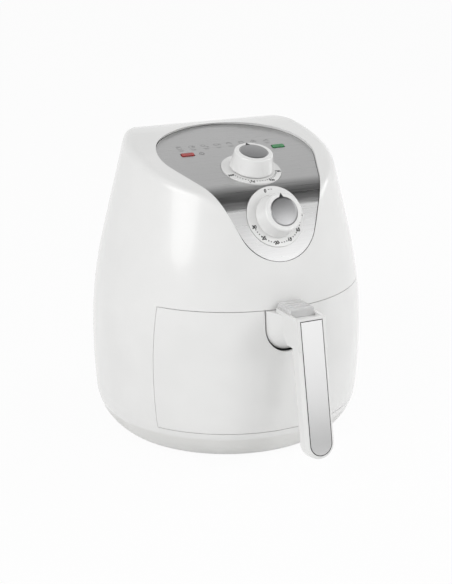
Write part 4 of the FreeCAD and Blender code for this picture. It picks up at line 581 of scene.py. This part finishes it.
dashes = [[(-3, -5), (3, -5)], [(-2, -6.6), (2, -6.6)]]
row_lines = []
for step, picture in enumerate(pictures):
    left = FIRST_PICTURE + step * PICTURE_STEP
    for corners in picture + dashes:
        row_lines.append([(left + x, PICTURE_LINE + y) for x, y in corners])
SIGN_LEFT = -34
power_sign = [loop(SIGN_LEFT, 39.5, 2.2, 2.2, 120, 300), [(SIGN_LEFT, 40), (SIGN_LEFT, 42.8)]]
print_face = on_slope(UPPER_DIAL, UPPER_TILT, 0.03)
row_print = [strokes_mesh(row_lines, 0.4)]
put("food_pictures", row_print, print_face, grey_ink, "housing")
sign_print = [strokes_mesh(power_sign, 0.55)]
put("power_sign", sign_print, print_face, ink, "housing")

# Camera at the photograph's angle, a little above the fryer and to the left of its front.
camera = bpy.data.objects.new("camera", bpy.data.cameras.new("camera"))
bpy.context.scene.collection.objects.link(camera)
camera_right = Vector((0.8988, -0.4384, 0))
camera_up = Vector((0.1344, 0.2755, 0.9519))
turned = Matrix((camera_right, camera_up, camera_right.cross(camera_up))).transposed().to_4x4()
camera.matrix_world = Matrix.Translation((-0.55703, -1.11037, 0.54028)) @ turned
camera.data.lens = 80.6
camera.data.sensor_width = 36
camera.data.clip_start = 0.05
bpy.context.scene.camera = camera

# Studio: a white paper sweep for a floor, a white surround and three soft lights. What the
# camera and reflections see of floor and surround is plain white.


def seen_by_eye(tree):
    """1 for rays of the camera, of reflections and through clear pieces, and 0 for others."""
    rays = add(tree, "ShaderNodeLightPath").outputs
    mirrored = maths(tree, "MAXIMUM", rays["Is Camera Ray"], rays["Is Glossy Ray"])
    return maths(tree, "MAXIMUM", mirrored, rays["Is Transmission Ray"])


def level_sheet(name, left, right, front, rear, high):
    """A level sheet in metres that belongs to the studio."""
    mesh = bpy.data.meshes.new(name)
    corners = [(left, front, high), (right, front, high), (right, rear, high), (left, rear, high)]
    mesh.from_pydata(corners, [], [(0, 1, 2, 3)])
    sheet = bpy.data.objects.new(name, mesh)
    bpy.context.scene.collection.objects.link(sheet)
    return sheet


def bare_material(name):
    """A material with no nodes, and its tree."""
    material = bpy.data.materials.new(name)
    material.use_nodes = True
    material.node_tree.nodes.clear()
    return material, material.node_tree


FLOOR_REACH, FLOOR_GLOW, FILL_LIGHT = 8, 0.94, 0.53
studio_floor = level_sheet("studio_floor", -FLOOR_REACH, FLOOR_REACH, -FLOOR_REACH, FLOOR_REACH, 0)
paper, tree = bare_material("white_paper_sweep")
matt = add(tree, "ShaderNodeBsdfDiffuse", inputs={"Color": linear("#f4f4f4")})
glow = add(tree, "ShaderNodeEmission", inputs={"Color": linear("#ffffff"), "Strength": 1.0})
share = maths(tree, "MULTIPLY", seen_by_eye(tree), FLOOR_GLOW)
words = {0: share, 1: matt.outputs[0], 2: glow.outputs[0]}
mixed = add(tree, "ShaderNodeMixShader", inputs=words)
add(tree, "ShaderNodeOutputMaterial", inputs={"Surface": mixed.outputs[0]})
studio_floor.data.materials.append(paper)

world = bpy.data.worlds.new("white_surround")
bpy.context.scene.world = world
world.use_nodes = True
tree = world.node_tree
tree.nodes.clear()
white = add(tree, "ShaderNodeBackground", inputs={"Color": linear("#ffffff"), "Strength": 1.0})
fill = add(tree, "ShaderNodeBackground", inputs={"Color": linear("#ffffff"), "Strength": FILL_LIGHT})
words = {0: seen_by_eye(tree), 1: fill.outputs[0], 2: white.outputs[0]}
mixed = add(tree, "ShaderNodeMixShader", inputs=words)
add(tree, "ShaderNodeOutputWorld", inputs={"Surface": mixed.outputs[0]})

softboxes = (
    ("left_light", (-1.85, -0.75, 1.1), 1.4, 15.5),
    ("right_light", (1.85, -0.35, 1.25), 1.2, 10),
    ("front_light", (0.68, -1.25, 0.7), 0.55, 2.6),
)
for name, spot, wide, power in softboxes:
    lamp = bpy.data.lights.new(name, "AREA")
    lamp.shape = "DISK"
    lamp.size = wide
    lamp.energy = power
    light = bpy.data.objects.new(name, lamp)
    light.location = spot
    aim = Vector((0, 0.03, 0.15)) - Vector(spot)
    light.rotation_euler = aim.to_track_quat("-Z", "Y").to_euler()
    bpy.context.scene.collection.objects.link(light)

# Two cards that only reflections see: one overhead, white at its rear and black at its front,
# shades the bent panel, and a grey one on the floor shades the foot of the grip's trim.


def card(name, left, right, front, rear, high, shades):
    """A level card in metres, lit by itself in shades of white from its front to its rear."""
    sheet = level_sheet(name, left, right, front, rear, high)
    sheet.visible_camera = False
    sheet.visible_diffuse = False
    sheet.visible_shadow = False
    sheet.visible_transmission = False
    cloth, tree = bare_material(name + "_cloth")
    place = add(tree, "ShaderNodeTexCoord").outputs["Object"]
    deep = add(tree, "ShaderNodeSeparateXYZ", inputs={"Vector": place}).outputs["Y"]
    words = {"Value": deep, "From Min": front, "From Max": rear}
    share = add(tree, "ShaderNodeMapRange", inputs=words).outputs["Result"]
    ramp = add(tree, "ShaderNodeValToRGB", inputs={"Fac": share})
    stops = ramp.color_ramp.elements
    for step, (at, code) in enumerate(shades):
        stop = stops[step] if step < len(stops) else stops.new(at)
        stop.position = at
        stop.color = linear(code)
    glow = add(tree, "ShaderNodeEmission", inputs={"Color": ramp.outputs["Color"], "Strength": 1.0})
    add(tree, "ShaderNodeOutputMaterial", inputs={"Surface": glow.outputs[0]})
    sheet.data.materials.append(cloth)


overhead = [(0.0, "#060606"), (0.45, "#0c0c0c"), (0.72, "#d0d0d0"), (1.0, "#ffffff")]
card("overhead_card", -0.6, 2.0, -1.5, 1.5, 1.4, overhead)
card("floor_card", -0.2, 1.4, -1.4, -0.45, 0.001, [(0.0, "#f4f4f4"), (1.0, "#5c5c5c")])

bpy.context.scene.view_settings.view_transform = "Standard"
